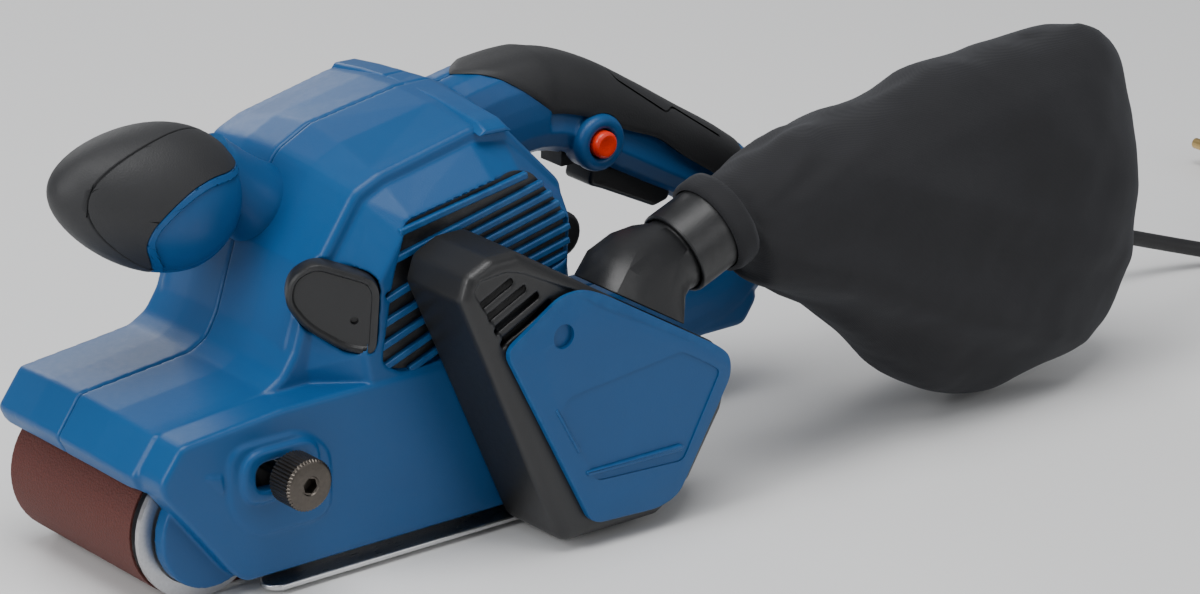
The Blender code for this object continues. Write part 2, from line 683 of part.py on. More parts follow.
def small_outside_pieces():
    add("brush_cover", brush_block(0.0), mat(BLACK))
    rear = lathe([(0, 0), (0, 8.8), (4.5, 8.8), (5.5, 7.6), (5.5, 0)], (-84, 40.5, 100), (0, 1, 0), 24)
    add("brush_cap_rear", rear, mat(BLACK))
    plate = add("base_strip", box((-60, 44.6, 1.6), (50, 59.0, 3.6)), mat(ALUMINIUM))
    tip = rod((48.5, 53.0, 1.6), (0, 0, 1), 2.0, 6.0, 16)
    boolean(plate, "UNION", [tip])


# ---------------------------------------------------------------- running gear
def sanding_frame():
    obj = add("sanding_frame", box((-42, -37, 4.9), (30, 41.2, 9.5)), mat(ALUMINIUM))
    left = belt_loop((24, 26), 19, (-AXLE_X, 27), 21, 10)
    right = belt_loop((-34, 24), 12, (-AXLE_X, 27), 14, 10)
    boolean(obj, "UNION", [box((-30, -11, 9), (28, 11, 38)), prism(left, 41.1, 43.5),
                           box((-41, -40.1, 6.2), (-29, -36, 28)), prism(right, -41.6, -38.4),
                           rod((-AXLE_X, 41.5, 27), (0, 1, 0), 10, 14.5, 24)])
    boolean(obj, "DIFFERENCE", [box((-26, -7.5, 19.5), (4.1, 7.5, 34.5)), box((4, -6.3, 20.7), (30, 6.3, 33.3)),
                                rod((-AXLE_X, 41.9, 27), (0, 1, 0), 12, 11.3, 24),
                                rod((-AXLE_X, 39, 27), (0, 1, 0), 12, 7.0, 24),
                                rod((-AXLE_X, -43, 27), (0, 1, 0), 6, 9.3, 24),
                                box((-26, -5, 34), (4, 5, 40))])
    cheek = ring_prism(circle(AXLE_X, AXLE_Z, 26.8, 40), circle(AXLE_X, AXLE_Z, 21.5, 40), 41.3, 43.4)
    add("roller_cheek", cheek, mat(ALUMINIUM))


def belt_and_platen():
    outer = belt_loop((AXLE_X, AXLE_Z), BELT_OUT, (-AXLE_X, AXLE_Z), BELT_OUT, 24)
    inner = belt_loop((AXLE_X, AXLE_Z), BELT_IN, (-AXLE_X, AXLE_Z), BELT_IN, 24)
    add("sanding_belt", ring_prism(outer, inner, -BELT_HALF, BELT_HALF), mat(GRIT))
    add("platen_sheet", box((-52, -37, 1.3), (50, 37, 2.1)), mat(STEEL))
    add("platen_pad", box((-50, -37, 2.4), (46, 37, 4.6)), mat(CORK))


def drive_roller():
    origin = (-AXLE_X, 0, AXLE_Z)
    at = (-AXLE_X, -ROLLER_HALF, AXLE_Z)
    across = (0, 1, 0)
    add("drive_roller", tube(at, across, 2 * ROLLER_HALF, DRIVE_R, 22.0, 36), mat(RUBBER), origin)
    add("drive_hub", tube(at, across, 2 * ROLLER_HALF, 21.7, 5.3, 28), mat(ALUMINIUM), origin)
    add("drive_shaft", rod((-AXLE_X, -41.2, AXLE_Z), across, 125.4, 5.0, 20), mat(STEEL), origin)
    add("drive_bearing_left", tube((-AXLE_X, 42.3, AXLE_Z), across, 8, 11.0, 5.3, 24), mat(STEEL))
    add("drive_bearing_right", tube((-AXLE_X, -41.4, AXLE_Z), across, 3.0, 9.0, 5.3, 24), mat(STEEL))
    y0, y1 = TOOTHED_Y
    flange = [(y0 - 2.6, 5.3), (y0 - 2.6, PULLEY_R + 2.0), (y0 - 1, PULLEY_R + 2.0), (y0 - 0.6, PULLEY_R),
              (y1 + 0.6, PULLEY_R), (y1 + 1, PULLEY_R + 2.0), (y1 + 2.6, PULLEY_R + 2.0), (y1 + 2.6, 5.3)]
    add("driven_pulley", lathe(flange, (-AXLE_X, 0, AXLE_Z), across, 36), mat(BLACK), origin)


def idler_roller():
    origin = (AXLE_X, 0, AXLE_Z)
    at = (AXLE_X, -ROLLER_HALF + 0.4, AXLE_Z)
    across = (0, 1, 0)
    add("front_roller", tube(at, across, 2 * ROLLER_HALF - 0.8, IDLER_R, 9.3, 36), mat(ALUMINIUM), origin)
    for side, y in (("left", 28.5), ("right", -35.5)):
        add(f"front_bearing_{side}", tube((AXLE_X, y, AXLE_Z), across, 7, 9.0, 4.3, 24), mat(STEEL), origin)
    add("front_axle", rod((AXLE_X, -40.4, AXLE_Z), across, 80.8, 4.0, 20), mat(STEEL))


def yoke_and_tracking():
    arm = [(36, 20), (66, 18.5), (79, 19), (81.5, 27), (79, 35), (66, 35.5), (56, 50), (45, 50), (36, 34)]
    origin = (YOKE_PIVOT_X, 0, AXLE_Z)
    obj = add("roller_yoke", box((36, -40.6, 20), (42, 40.6, 34)), mat(ALUMINIUM), origin)
    arms = [prism(rounded(arm, 3, 2), 37.0, 40.6),
            prism(rounded([(36, 20), (66, 18.5), (79, 19), (81.5, 27), (79, 35), (66, 35.5), (36, 34)], 3, 2),
                  -40.6, -37.0)]
    boolean(obj, "UNION", arms)
    boolean(obj, "DIFFERENCE", [rod((AXLE_X, -42, AXLE_Z), (0, 1, 0), 84, 4.3, 20),
                                rod((KNOB_X, 36, KNOB_Z), (0, 1, 0), 6, 2.8, 16)])
    add("yoke_stem", box((-2, -6, 21), (35.4, 6, 33)), mat(STEEL), (0, 0, AXLE_Z))
    spring = []
    turns, wire = 5, 0.9
    for k in range(turns * 12 + 1):
        a = 2 * pi * k / 12
        centre = Vector((-17.0 + 13.5 * k / (turns * 12), 5.0 * cos(a), AXLE_Z + 5.0 * sin(a)))
        out = Vector((0, cos(a), sin(a)))
        ring = [tuple(centre + out * (wire * cos(b)) + Vector((wire * sin(b), 0, 0)))
                for b in (2 * pi * j / 6 for j in range(6))]
        spring.append(ring)
    add("tension_spring", loft(spring), mat(STEEL))
    knob_origin = (KNOB_X, 60, KNOB_Z)
    screw = lathe([(37.2, 0), (37.2, 2.5), (60, 2.5), (60, 4.2), (64.6, 4.2), (64.6, 0)],
                  (KNOB_X, 0, KNOB_Z), (0, 1, 0), 20)
    add("tracking_screw", screw, mat(STEEL), knob_origin)
    add("tracking_knob", knurled_knob(), mat(DARK_STEEL), knob_origin)
    px, py = LEVER_PIVOT
    blade = rounded([(px - 5, py - 2.2), (px + 30, py - 2.2), (px + 44, py - 4.2), (px + 47, py - 2.4),
                     (px + 44, py - 0.6), (px + 30, py + 1.4), (px + 5, py + 2.4), (px - 5, py + 2.4)], 2, 2)
    loops = [[(x, y, z) for x, y in blade] for z in (20.5, 33.5)]
    lever_obj = add("tension_lever", loft(loops), mat(STEEL), (px, py, AXLE_Z))
    boolean(lever_obj, "DIFFERENCE", [rod((px, py, 18), (0, 0, 1), 18, 1.5, 12)])
    add("lever_pin", rod((px, py, 17.0), (0, 0, 1), 20, 1.2, 12), mat(STEEL))


def knurled_knob():
    """Tracking knob: a knurled head with a hex socket in its face."""
    teeth = 30
    outline = []
    for k in range(teeth * 2):
        r = 9.6 if k % 2 else 8.9
        a = pi * k / teeth
        outline.append((KNOB_X + r * cos(a), KNOB_Z + r * sin(a)))
    hexagon = [(KNOB_X + 2.8 * cos(pi * k / 3), KNOB_Z + 2.8 * sin(pi * k / 3)) for k in range(6)]
    bm = loft([xz(inset(outline, 0.8), 65.0), xz(outline, 66.0), xz(outline, 76.0),
               xz([(KNOB_X + (x - KNOB_X) * 0.9, KNOB_Z + (z - KNOB_Z) * 0.9) for x, z in outline], 77.2)])
    head = add("knob_scratch", bm, mat(DARK_STEEL))
    boolean(head, "DIFFERENCE", [prism(hexagon, 73.0, 80.0)])
    result = bmesh.new()
    result.from_mesh(head.data)
    bpy.data.objects.remove(head)
    return result


# ---------------------------------------------------------------- motor
def motor():
    across = (0, 1, 0)
    centre = (MOTOR_X, 0, MOTOR_Z)
    origin = centre
    stator_out = circle(MOTOR_X, MOTOR_Z, 29.5, 36)
    stator_in = circle(MOTOR_X, MOTOR_Z, 19.2, 36)
    add("motor_stator", ring_prism(stator_out, stator_in, -26, 14), mat(DARK_STEEL))
    shaft = [(-50.5, 0), (-50.5, SHAFT_R), (-28, SHAFT_R), (-28, 18.5), (16, 18.5), (16, SHAFT_R),
             (60, SHAFT_R), (60, 3.0), (82, 3.0), (82, 0)]
    add("motor_armature", lathe(shaft, centre, across, 32), mat(COPPER), origin)
    add("commutator", tube((MOTOR_X, 26, MOTOR_Z), across, 14, 11.5, 4.3, 28), mat(COPPER), origin)
    add("cooling_fan", fan(), mat(BLACK), origin)
    add("motor_bearing_left", tube((MOTOR_X, 44.0, MOTOR_Z), across, 7, 11, 4.3, 24), mat(STEEL))
    add("motor_bearing_right", tube((MOTOR_X, -50.4, MOTOR_Z), across, 7, 9.5, 4.3, 24), mat(STEEL))
    y0, y1 = TOOTHED_Y
    add("drive_pinion", tube((MOTOR_X, y0 - 1, MOTOR_Z), across, y1 - y0 + 2, PINION_R, 3.3, 20), mat(STEEL),
        origin)
    loop = ((MOTOR_X, MOTOR_Z), (-AXLE_X, AXLE_Z))
    outer = belt_loop(loop[0], PINION_R + 2.3, loop[1], PULLEY_R + 2.3, 14)
    inner = belt_loop(loop[0], PINION_R + GAP, loop[1], PULLEY_R + GAP, 14)
    add("toothed_belt", ring_prism(outer, inner, y0, y1), mat(RUBBER))
    for side, sign in (("front", 1), ("rear", -1)):
        x0 = MOTOR_X + sign * 11.9
        x1 = MOTOR_X + sign * 25.0
        lo, hi = min(x0, x1), max(x0, x1)
        add(f"carbon_brush_{side}", box((lo, 29.5, 94), (hi, 36.5, 100)), mat(CARBON))
        y_lo, y_hi = 27.9, 38.1
        holder_lo = MOTOR_X + 15.0 if sign > 0 else MOTOR_X - 40.0
        holder = add(f"brush_holder_{side}", box((holder_lo, y_lo, 92.4), (holder_lo + 25, y_hi, 101.6)),
                     mat(BRASS))
        boolean(holder, "DIFFERENCE", [box((MOTOR_X - 50, 29.2, 93.7), (MOTOR_X + 50, 36.8, 100.3))])


def fan():
    """Radial fan: a disc with blades, turned on the armature shaft."""
    disc = add("fan_scratch", tube((MOTOR_X, -42.5, MOTOR_Z), (0, 1, 0), 2.0, 27, 4.3, 28), mat(BLACK))
    blades = [tube((MOTOR_X, -42.5, MOTOR_Z), (0, 1, 0), 9.0, 8.5, 4.3, 20)]
    for k in range(9):
        a = 2 * pi * k / 9
        d = Vector((cos(a), sin(a)))
        w = Vector((-d.y, d.x)) * 0.8
        c = Vector((MOTOR_X, MOTOR_Z))
        blades.append(prism([tuple(c + d * 8 + w), tuple(c + d * 8 - w), tuple(c + d * 26 - w),
                             tuple(c + d * 26 + w)], -41.0, -34.0))
    boolean(disc, "UNION", blades)
    result = bmesh.new()
    result.from_mesh(disc.data)
    bpy.data.objects.remove(disc)
    return result


# ---------------------------------------------------------------- handle pieces
def handle_pieces():
    grip = add("handle_grip", handle_grip(), mat(RUBBER))
    x, z = LOCK_AT
    boolean(grip, "DIFFERENCE", [rod((x, 5, z), (0, 1, 0), 20, 10.9, 28)])
    add("switch_module", box((-150, -7, 108.6), (-115, 5.4, 124)), mat(BLACK))
    trigger = rounded([(-126, 99.5), (-133, 96.5), (-157, 84.5), (-164, 86), (-166, 97), (-160, 102.5),
                       (-128, 106)], 2.5, 3)
    add("trigger", soft_prism(trigger, -8.0, 8.0, 1.5, 1.5), mat(BLACK), TRIGGER_PIVOT)
    button = lathe([(9.0, 0), (9.0, LOCK_R - 0.6), (9.8, LOCK_R), (20.5, LOCK_R), (21.6, LOCK_R - 1.4),
                    (21.8, 0)], (x, 0, z), (0, 1, 0), 28)
    add("lock_button", button, mat(RED), (x, 15, z))
    at = Vector((-197.0, 0.0, 82.2))
    aim = Vector((-1, 0, -0.25)).normalized()
    guard = [(0, CORD_D / 2 + GAP), (0, 5.4), (22, 5.2), (52, 4.1), (52, CORD_D / 2 + GAP)]
    add("cord_guard", lathe(guard, at, aim, 20), mat(RUBBER))


# ---------------------------------------------------------------- mains cord
CORD_ROUTE = [(-200.5, 0.0, 81.4), (-225.0, 0.0, 75.2), (-252.0, 0.2, 68.2), (-285.0, 1.0, 58.5),
              (-320.0, 2.2, 46.5), (-354.0, 4.0, 34.8), (-386.0, 7.0, 23.6), (-410.0, 10.5, 15.4),
              (-430.0, 15.0, 9.0), (-445.0, 22.0, 4.8), (-452.0, 32.0, 3.4), (-452.7, 42.0, 3.3)]


def smooth_route(points, spacing):
    """Points along a smooth curve through the route, about spacing apart."""
    out = []
    pts = [Vector(p) for p in points]
    for i in range(len(pts) - 1):
        p0, p1, p2, p3 = pts[max(i - 1, 0)], pts[i], pts[i + 1], pts[min(i + 2, len(pts) - 1)]
        steps = max(1, round((p2 - p1).length / spacing))
        for k in range(steps):
            t = k / steps
            out.append(0.5 * (2 * p1 + (p2 - p0) * t + (2 * p0 - 5 * p1 + 4 * p2 - p3) * t ** 2
                              + (3 * p1 - p0 - 3 * p2 + p3) * t ** 3))
    out.append(pts[-1])
    return out


def mains_cord():
    points = smooth_route(CORD_ROUTE, CORD_D * 2.2)
    curve = bpy.data.curves.new("power_cord", "CURVE")
    curve.dimensions = "3D"
    curve.bevel_depth = CORD_D / 2 * MM
    curve.bevel_resolution = 2
    curve.use_fill_caps = True
    spline = curve.splines.new("POLY")
    spline.points.add(len(points) - 1)
    for point, target in zip(spline.points, points):
        point.co = (*(target * MM), 1.0)
    curve.materials.append(mat(RUBBER))
    cord = bpy.data.objects.new("power_cord", curve)
    bpy.context.scene.collection.objects.link(cord)
    x, y = COIL_AT
    route_length = sum((Vector(b) - Vector(a)).length for a, b in zip(CORD_ROUTE, CORD_ROUTE[1:]))
    turns = (CORD_LENGTH - route_length) / (2 * pi * COIL_MID_R)
    band = COIL_COLUMNS * CORD_D / 2 + 0.6
    high = ceil(turns / COIL_COLUMNS) * CORD_D
    coil = [(0.0, COIL_MID_R - band), (0.0, COIL_MID_R + band - 1.5), (1.5, COIL_MID_R + band),
            (high - 2.5, COIL_MID_R + band), (high, COIL_MID_R + band - 3), (high, COIL_MID_R - band + 3),
            (high - 2.5, COIL_MID_R - band)]
    add("cord_coil", lathe(coil, (x, y, 0.1), (0, 0, 1), 36), mat(RUBBER))


PLUG_X, PLUG_BACK_Y = -532.0, -25.0
PLUG_OUTLINE = [(6, 0), (13.5, -5), (16.5, -14), (15.5, -29), (12, -33), (-12, -33), (-15.5, -29),
                (-16.5, -14), (-13.5, -5), (-6, 0)]
PIN_SPACING = 19.0


def plug():
    """Two-pin plug lying beside the coil, with its pins as separate pieces."""
    body = rounded([(PLUG_X + x, PLUG_BACK_Y + y) for x, y in PLUG_OUTLINE], 4, 3)
    loops = [[(x, y, z) for x, y in inset(body, d)] for z, d in ((0.2, 2.5), (2.5, 0.3), (16.0, 0.0), (19.0, 2.0))]
    add("plug_body", loft(loops), mat(RUBBER))
    for k, side in enumerate((-0.5, 0.5)):
        at = (PLUG_X + side * PIN_SPACING, PLUG_BACK_Y - 33.2, 9.6)
        add(f"plug_pin_{k + 1}", rod(at, (0, -1, 0), 19, 2.3, 16), mat(BRASS))


def main():
    clear_scene()
    casing(1)
    casing(-1)
    front_knob()
    drive_cover()
    dust_outlet()
    dust_bag()
    small_outside_pieces()
    sanding_frame()
    belt_and_platen()
    drive_roller()
    idler_roller()
    yoke_and_tracking()
    motor()
    handle_pieces()
    mains_cord()
    plug()


main()
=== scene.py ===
"""Looks for the handheld belt sander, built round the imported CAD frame.

Lengths in the code are millimetres in the frame's axes: +X towards the front knob, +Y towards
the drive cover, +Z up. MM turns them into metres. Points in pairs are (x, z).
"""
from math import cos, pi, radians, sin, sqrt

import bmesh
import bpy
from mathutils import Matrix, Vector, noise


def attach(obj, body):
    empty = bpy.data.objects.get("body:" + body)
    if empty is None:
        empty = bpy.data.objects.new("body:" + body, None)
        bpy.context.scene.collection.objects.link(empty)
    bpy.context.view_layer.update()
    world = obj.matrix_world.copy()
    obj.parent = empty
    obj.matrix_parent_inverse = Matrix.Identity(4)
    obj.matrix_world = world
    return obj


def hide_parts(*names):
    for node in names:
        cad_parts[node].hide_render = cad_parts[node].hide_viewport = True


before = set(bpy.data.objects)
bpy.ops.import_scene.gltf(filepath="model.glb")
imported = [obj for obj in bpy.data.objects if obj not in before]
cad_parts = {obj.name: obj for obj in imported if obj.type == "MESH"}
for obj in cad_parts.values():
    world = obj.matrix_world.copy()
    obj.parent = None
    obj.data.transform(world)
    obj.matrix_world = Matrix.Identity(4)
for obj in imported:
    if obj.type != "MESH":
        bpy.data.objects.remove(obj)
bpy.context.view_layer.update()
MM = 0.001

# ------------------------------------------------------------------ camera, light and floor
TARGET = Vector((-0.1373, 0.0, 0.05074))
EYE_DISTANCE = 2.0446
EYE_TURN = radians(38.2)               # from +Y towards +X
EYE_RISE = radians(20.46)
SENSOR = 36.0
LENS = 163.9


def make_camera():
    away = Vector((sin(EYE_TURN) * cos(EYE_RISE), cos(EYE_TURN) * cos(EYE_RISE), sin(EYE_RISE)))
    data = bpy.data.cameras.new("camera")
    data.sensor_width = SENSOR
    data.lens = LENS
    data.clip_start = 0.05
    camera = bpy.data.objects.new("camera", data)
    bpy.context.scene.collection.objects.link(camera)
    camera.location = TARGET + away * EYE_DISTANCE
    camera.rotation_euler = (-away).to_track_quat("-Z", "Y").to_euler()
    bpy.context.scene.camera = camera


def area_light(name, at, size, power):
    data = bpy.data.lights.new(name, "AREA")
    data.shape = "RECTANGLE"
    data.size, data.size_y = size
    data.energy = power
    lamp = bpy.data.objects.new(name, data)
    bpy.context.scene.collection.objects.link(lamp)
    lamp.location = at
    lamp.rotation_euler = (Vector(at) - TARGET).to_track_quat("Z", "Y").to_euler()


LIGHTS = {                             # place, size and power
    "overhead": ((0.15, 0.25, 1.6), (1.2, 0.9), 22),
    "front_left": ((1.5, 0.15, 0.85), (0.6, 1.1), 17),
    "side": ((-0.9, 1.9, 0.95), (1.3, 0.9), 7),
    "rim": ((-0.5, -1.7, 0.8), (0.8, 0.4), 6)}
FLOOR_HALF = 6.0
FLOOR_DROP = 0.0002


def make_stage():
    world = bpy.data.worlds.new("studio")
    bpy.context.scene.world = world
    world.use_nodes = True
    back = world.node_tree.nodes["Background"]
    back.inputs["Color"].default_value = (0.93, 0.95, 1.0, 1)
    back.inputs["Strength"].default_value = 0.34
    for name, (at, size, power) in LIGHTS.items():
        area_light(name, at, size, power)
    mesh = bpy.data.meshes.new("floor")
    far = FLOOR_HALF
    mesh.from_pydata([(-far, -far, 0), (far, -far, 0), (far, far, 0), (-far, far, 0)], [], [(0, 1, 2, 3)])
    floor = bpy.data.objects.new("floor", mesh)
    bpy.context.scene.collection.objects.link(floor)
    floor.location.z = -FLOOR_DROP
    mat = bpy.data.materials.new("floor_paper")
    mat.use_nodes = True
    shader = mat.node_tree.nodes["Principled BSDF"]
    shader.inputs["Base Color"].default_value = (0.78, 0.78, 0.775, 1)
    shader.inputs["Roughness"].default_value = 0.85
    mesh.materials.append(mat)


# ------------------------------------------------------------------ materials
EDGE_HIGHLIGHT = 0.35                       # how far the painted highlight on convex edges goes to the lighter colour


class Shader:
    """Small helper to build a node material on object coordinates."""

    def __init__(self, name, roughness=0.5, metallic=0.0, specular=0.5):
        self.mat = bpy.data.materials.new(name)
        self.mat.use_nodes = True
        self.tree = self.mat.node_tree
        self.bsdf = self.tree.nodes["Principled BSDF"]
        self.bsdf.inputs["Roughness"].default_value = roughness
        self.bsdf.inputs["Metallic"].default_value = metallic
        self.bsdf.inputs["Specular IOR Level"].default_value = specular
        self.coords = self.node("ShaderNodeTexCoord").outputs["Object"]
        self.height = None

    def node(self, kind, **settings):
        made = self.tree.nodes.new(kind)
        for key, value in settings.items():
            setattr(made, key, value)
        return made

    def link(self, a, b):
        self.tree.links.new(a, b)

    def noise(self, scale, detail=4.0, rough=0.55, stretch=None):
        made = self.node("ShaderNodeTexNoise")
        made.inputs["Scale"].default_value = scale
        made.inputs["Detail"].default_value = detail
        made.inputs["Roughness"].default_value = rough
        self.link(self.mapped(stretch), made.inputs["Vector"])
        return made.outputs["Fac"]

    def mapped(self, stretch):
        if stretch is None:
            return self.coords
        mapping = self.node("ShaderNodeMapping")
        mapping.inputs["Scale"].default_value = stretch
        self.link(self.coords, mapping.inputs["Vector"])
        return mapping.outputs["Vector"]

    def cells(self, scale):
        made = self.node("ShaderNodeTexVoronoi")
        made.inputs["Scale"].default_value = scale
        self.link(self.coords, made.inputs["Vector"])
        return made.outputs["Distance"]

    def waves(self, scale, direction, distortion):
        made = self.node("ShaderNodeTexWave", bands_direction=direction)
        made.inputs["Scale"].default_value = scale
        made.inputs["Distortion"].default_value = distortion
        self.link(self.coords, made.inputs["Vector"])
        return made.outputs["Fac"]

    def ramp(self, fac, stops):
        made = self.node("ShaderNodeValToRGB")
        ramp = made.color_ramp
        while len(ramp.elements) < len(stops):
            ramp.elements.new(0.5)
        for element, (at, color) in zip(ramp.elements, stops):
            element.position = at
            element.color = (*color, 1)
        self.link(fac, made.inputs["Fac"])
        return made.outputs["Color"]

    def mix(self, fac, a, b):
        made = self.node("ShaderNodeMix", data_type="RGBA")
        for socket, value in (("Factor", fac), ("A", a), ("B", b)):
            slot = next(s for s in made.inputs if s.name == socket and
                        (s.type == "RGBA" or socket == "Factor" and s.type == "VALUE"))
            if isinstance(value, (tuple, float)):
                slot.default_value = (*value, 1) if isinstance(value, tuple) else value
            else:
                self.link(value, slot)
        return next(s for s in made.outputs if s.type == "RGBA")

    def math(self, op, a, b):
        made = self.node("ShaderNodeMath", operation=op)
        for slot, value in zip(made.inputs, (a, b)):
            if isinstance(value, (int, float)):
                slot.default_value = value
            else:
                self.link(value, slot)
        return made.outputs[0]

    def color(self, value):
        self.link(value, self.bsdf.inputs["Base Color"])

    def rough(self, fac, low, high):
        made = self.node("ShaderNodeMapRange")
        made.inputs["To Min"].default_value = low
        made.inputs["To Max"].default_value = high
        self.link(fac, made.inputs["Value"])
        self.link(made.outputs["Result"], self.bsdf.inputs["Roughness"])

    def bump(self, height, distance, strength=1.0):
        made = self.node("ShaderNodeBump")
        made.inputs["Distance"].default_value = distance
        made.inputs["Strength"].default_value = strength
        self.link(height, made.inputs["Height"])
        if self.height is not None:
            self.link(self.height, made.inputs["Normal"])
        self.height = made.outputs["Normal"]
        self.link(self.height, self.bsdf.inputs["Normal"])

    def painted_edge_highlight(self, base, light):
        """Lighter convex edges in patches: a painted highlight."""
        geo = self.node("ShaderNodeNewGeometry")
        edge = self.ramp(geo.outputs["Pointiness"], [(0.52, (0, 0, 0)), (0.60, (1, 1, 1))])
        patch = self.ramp(self.noise(220.0), [(0.42, (0, 0, 0)), (0.66, (1, 1, 1))])
        both = self.math("MULTIPLY", edge, patch)
        return self.mix(self.math("MULTIPLY", both, EDGE_HIGHLIGHT), base, light)


def plastic(name, low, high, light, roughness, grain=1.0, specular=0.5):
    s = Shader(name, roughness=roughness, specular=specular)
    base = s.mix(s.noise(34.0, 3.0), low, high)
    # convex edges go lighter in patches: painted highlight
    s.color(s.painted_edge_highlight(base, light))
    s.rough(s.noise(420.0, 5.0), roughness - 0.05, roughness + 0.07)
    s.bump(s.cells(1900.0), 0.00006 * grain, 0.35)
    s.bump(s.noise(3200.0, 2.0), 0.00004 * grain, 0.4)
    return s.mat


def rubber(name, low, high, roughness=0.62):
    s = Shader(name, roughness=roughness, specular=0.42)
    s.color(s.mix(s.noise(60.0, 4.0), low, high))
    s.rough(s.noise(300.0, 4.0), roughness - 0.06, roughness + 0.08)
    s.bump(s.cells(1500.0), 0.00010, 0.5)
    s.bump(s.noise(5200.0, 2.0), 0.00005, 0.5)
    return s.mat


def metal(name, color, dark, roughness, stretch=(1, 1, 1), brush=900.0, bump=0.00003):
    s = Shader(name, roughness=roughness, metallic=1.0)
    fine = s.noise(brush, 3.0, 0.6, stretch)
    s.color(s.mix(fine, dark, color))
    s.rough(s.noise(180.0, 5.0, 0.6, stretch), roughness - 0.08, roughness + 0.12)
    s.bump(fine, bump, 0.6)
    return s.mat


def cloth():
    """Charcoal woven polyester: crossed threads with slubs and dusty lights."""
    s = Shader("bag_weave", roughness=0.88, specular=0.28)
    s.bsdf.inputs["Sheen Weight"].default_value = 0.10
    s.bsdf.inputs["Sheen Roughness"].default_value = 0.5
    s.bsdf.inputs["Sheen Tint"].default_value = (0.75, 0.78, 0.85, 1)
    warp = s.waves(620.0, "X", 0.6)
    weft = s.waves(620.0, "Z", 0.6)
    weave = s.math("MULTIPLY", warp, weft)
    weave = s.math("ADD", weave, s.math("MULTIPLY", s.noise(900.0, 3.0), 0.3))
    tone = s.mix(s.noise(14.0, 5.0, 0.6), (0.013, 0.0133, 0.0148), (0.024, 0.024, 0.0265))
    s.color(s.mix(weave, s.mix(0.35, tone, (0.005, 0.005, 0.006)), tone))
    s.rough(s.noise(40.0, 4.0), 0.80, 0.95)
    s.bump(s.noise(28.0, 3.0, 0.5), 0.0012, 0.35)
    s.bump(weave, 0.00012, 0.5)
    return s.mat


def abrasive():
    s = Shader("abrasive_grit", roughness=0.72, specular=0.45)
    grit = s.cells(1250.0)
    fine = s.noise(2600.0, 4.0, 0.7)
    base = s.mix(s.noise(26.0, 5.0), (0.070, 0.013, 0.010), (0.100, 0.020, 0.014))
    speck = s.ramp(fine, [(0.36, (0.022, 0.006, 0.005)), (0.58, (0.115, 0.026, 0.018)),
                          (0.74, (0.28, 0.095, 0.07))])
    s.color(s.mix(0.55, base, speck))
    s.rough(fine, 0.5, 0.9)
    s.bump(grit, 0.00035, 0.8)
    s.bump(fine, 0.00018, 0.8)
    return s.mat


def red_plastic():
    s = Shader("red_gloss", roughness=0.28, specular=0.5)
    s.color(s.mix(s.noise(90.0), (0.72, 0.022, 0.004), (0.84, 0.034, 0.007)))
    s.rough(s.noise(500.0), 0.22, 0.34)
    s.bump(s.noise(1500.0), 0.00002, 0.4)
    return s.mat


MATS = {}


def make_materials():
    # the third colour of each plastic is its painted highlight on convex edges
    MATS["blue"] = plastic("blue_plastic", (0.0012, 0.060, 0.188), (0.0022, 0.070, 0.212),
                           (0.03, 0.16, 0.36), 0.40, specular=0.36)
    MATS["black"] = plastic("black_plastic", (0.0085, 0.0088, 0.0095), (0.0125, 0.0128, 0.0138),
                            (0.05, 0.05, 0.052), 0.38, 1.3)
    MATS["rubber"] = rubber("soft_rubber", (0.016, 0.0165, 0.018), (0.023, 0.0235, 0.025), 0.56)
    MATS["cord"] = rubber("cord_sheath", (0.014, 0.014, 0.015), (0.022, 0.022, 0.023), 0.5)
    MATS["steel"] = metal("turned_steel", (0.55, 0.55, 0.56), (0.38, 0.38, 0.39), 0.32)
    MATS["bright"] = metal("bright_strip", (0.74, 0.74, 0.73), (0.60, 0.60, 0.60), 0.28, (1, 12, 12))
    MATS["cast"] = metal("cast_aluminium", (0.60, 0.60, 0.60), (0.44, 0.44, 0.44), 0.46,
                         brush=500.0, bump=0.0001)
    MATS["bronze"] = metal("dark_turned_metal", (0.125, 0.11, 0.095), (0.075, 0.066, 0.058), 0.38)
    MATS["copper"] = metal("copper", (0.72, 0.35, 0.20), (0.5, 0.22, 0.12), 0.35)
    MATS["brass"] = metal("brass", (0.72, 0.52, 0.22), (0.55, 0.38, 0.15), 0.30)
    MATS["cloth"] = cloth()
    MATS["grit"] = abrasive()
    MATS["red"] = red_plastic()
    MATS["cork"] = rubber("pressed_cork", (0.22, 0.13, 0.07), (0.36, 0.23, 0.13), 0.9)
    MATS["carbon"] = rubber("carbon", (0.02, 0.02, 0.02), (0.05, 0.05, 0.05), 0.5)


# ------------------------------------------------------------------ mesh helpers, in millimetres
def rounded(points, radius, steps=4):
    """Outline with its corners turned into short curves that start radius before the corner."""
    out = []
    count = len(points)
    for i, point in enumerate(points):
        here = Vector(point)
        before = Vector(points[i - 1]) - here
        after = Vector(points[(i + 1) % count]) - here
        reach = min(radius, 0.46 * before.length, 0.46 * after.length)
        start = here + before.normalized() * reach
        end = here + after.normalized() * reach
        for k in range(steps + 1):
            t = k / steps
            out.append(tuple(start * (1 - t) ** 2 + here * 2 * t * (1 - t) + end * t ** 2))
    return out


def inset(points, distance):
    """Outline moved in by distance, out if it is negative."""
    area = sum(a[0] * b[1] - b[0] * a[1] for a, b in zip(points, points[1:] + points[:1]))
    side = 1.0 if area > 0 else -1.0
    out = []
    for i, b in enumerate(points):
        a, b, c = Vector(points[i - 1]), Vector(b), Vector(points[(i + 1) % len(points)])
        n1 = Vector((-(b - a).y, (b - a).x)).normalized() * side
        n2 = Vector((-(c - b).y, (c - b).x)).normalized() * side
        n = n1 + n2
        out.append(tuple(b + n * (distance / max(0.5, n.length_squared / 2))))
    return out


def xz(points, y):
    return [(x, y, z) for x, z in points]


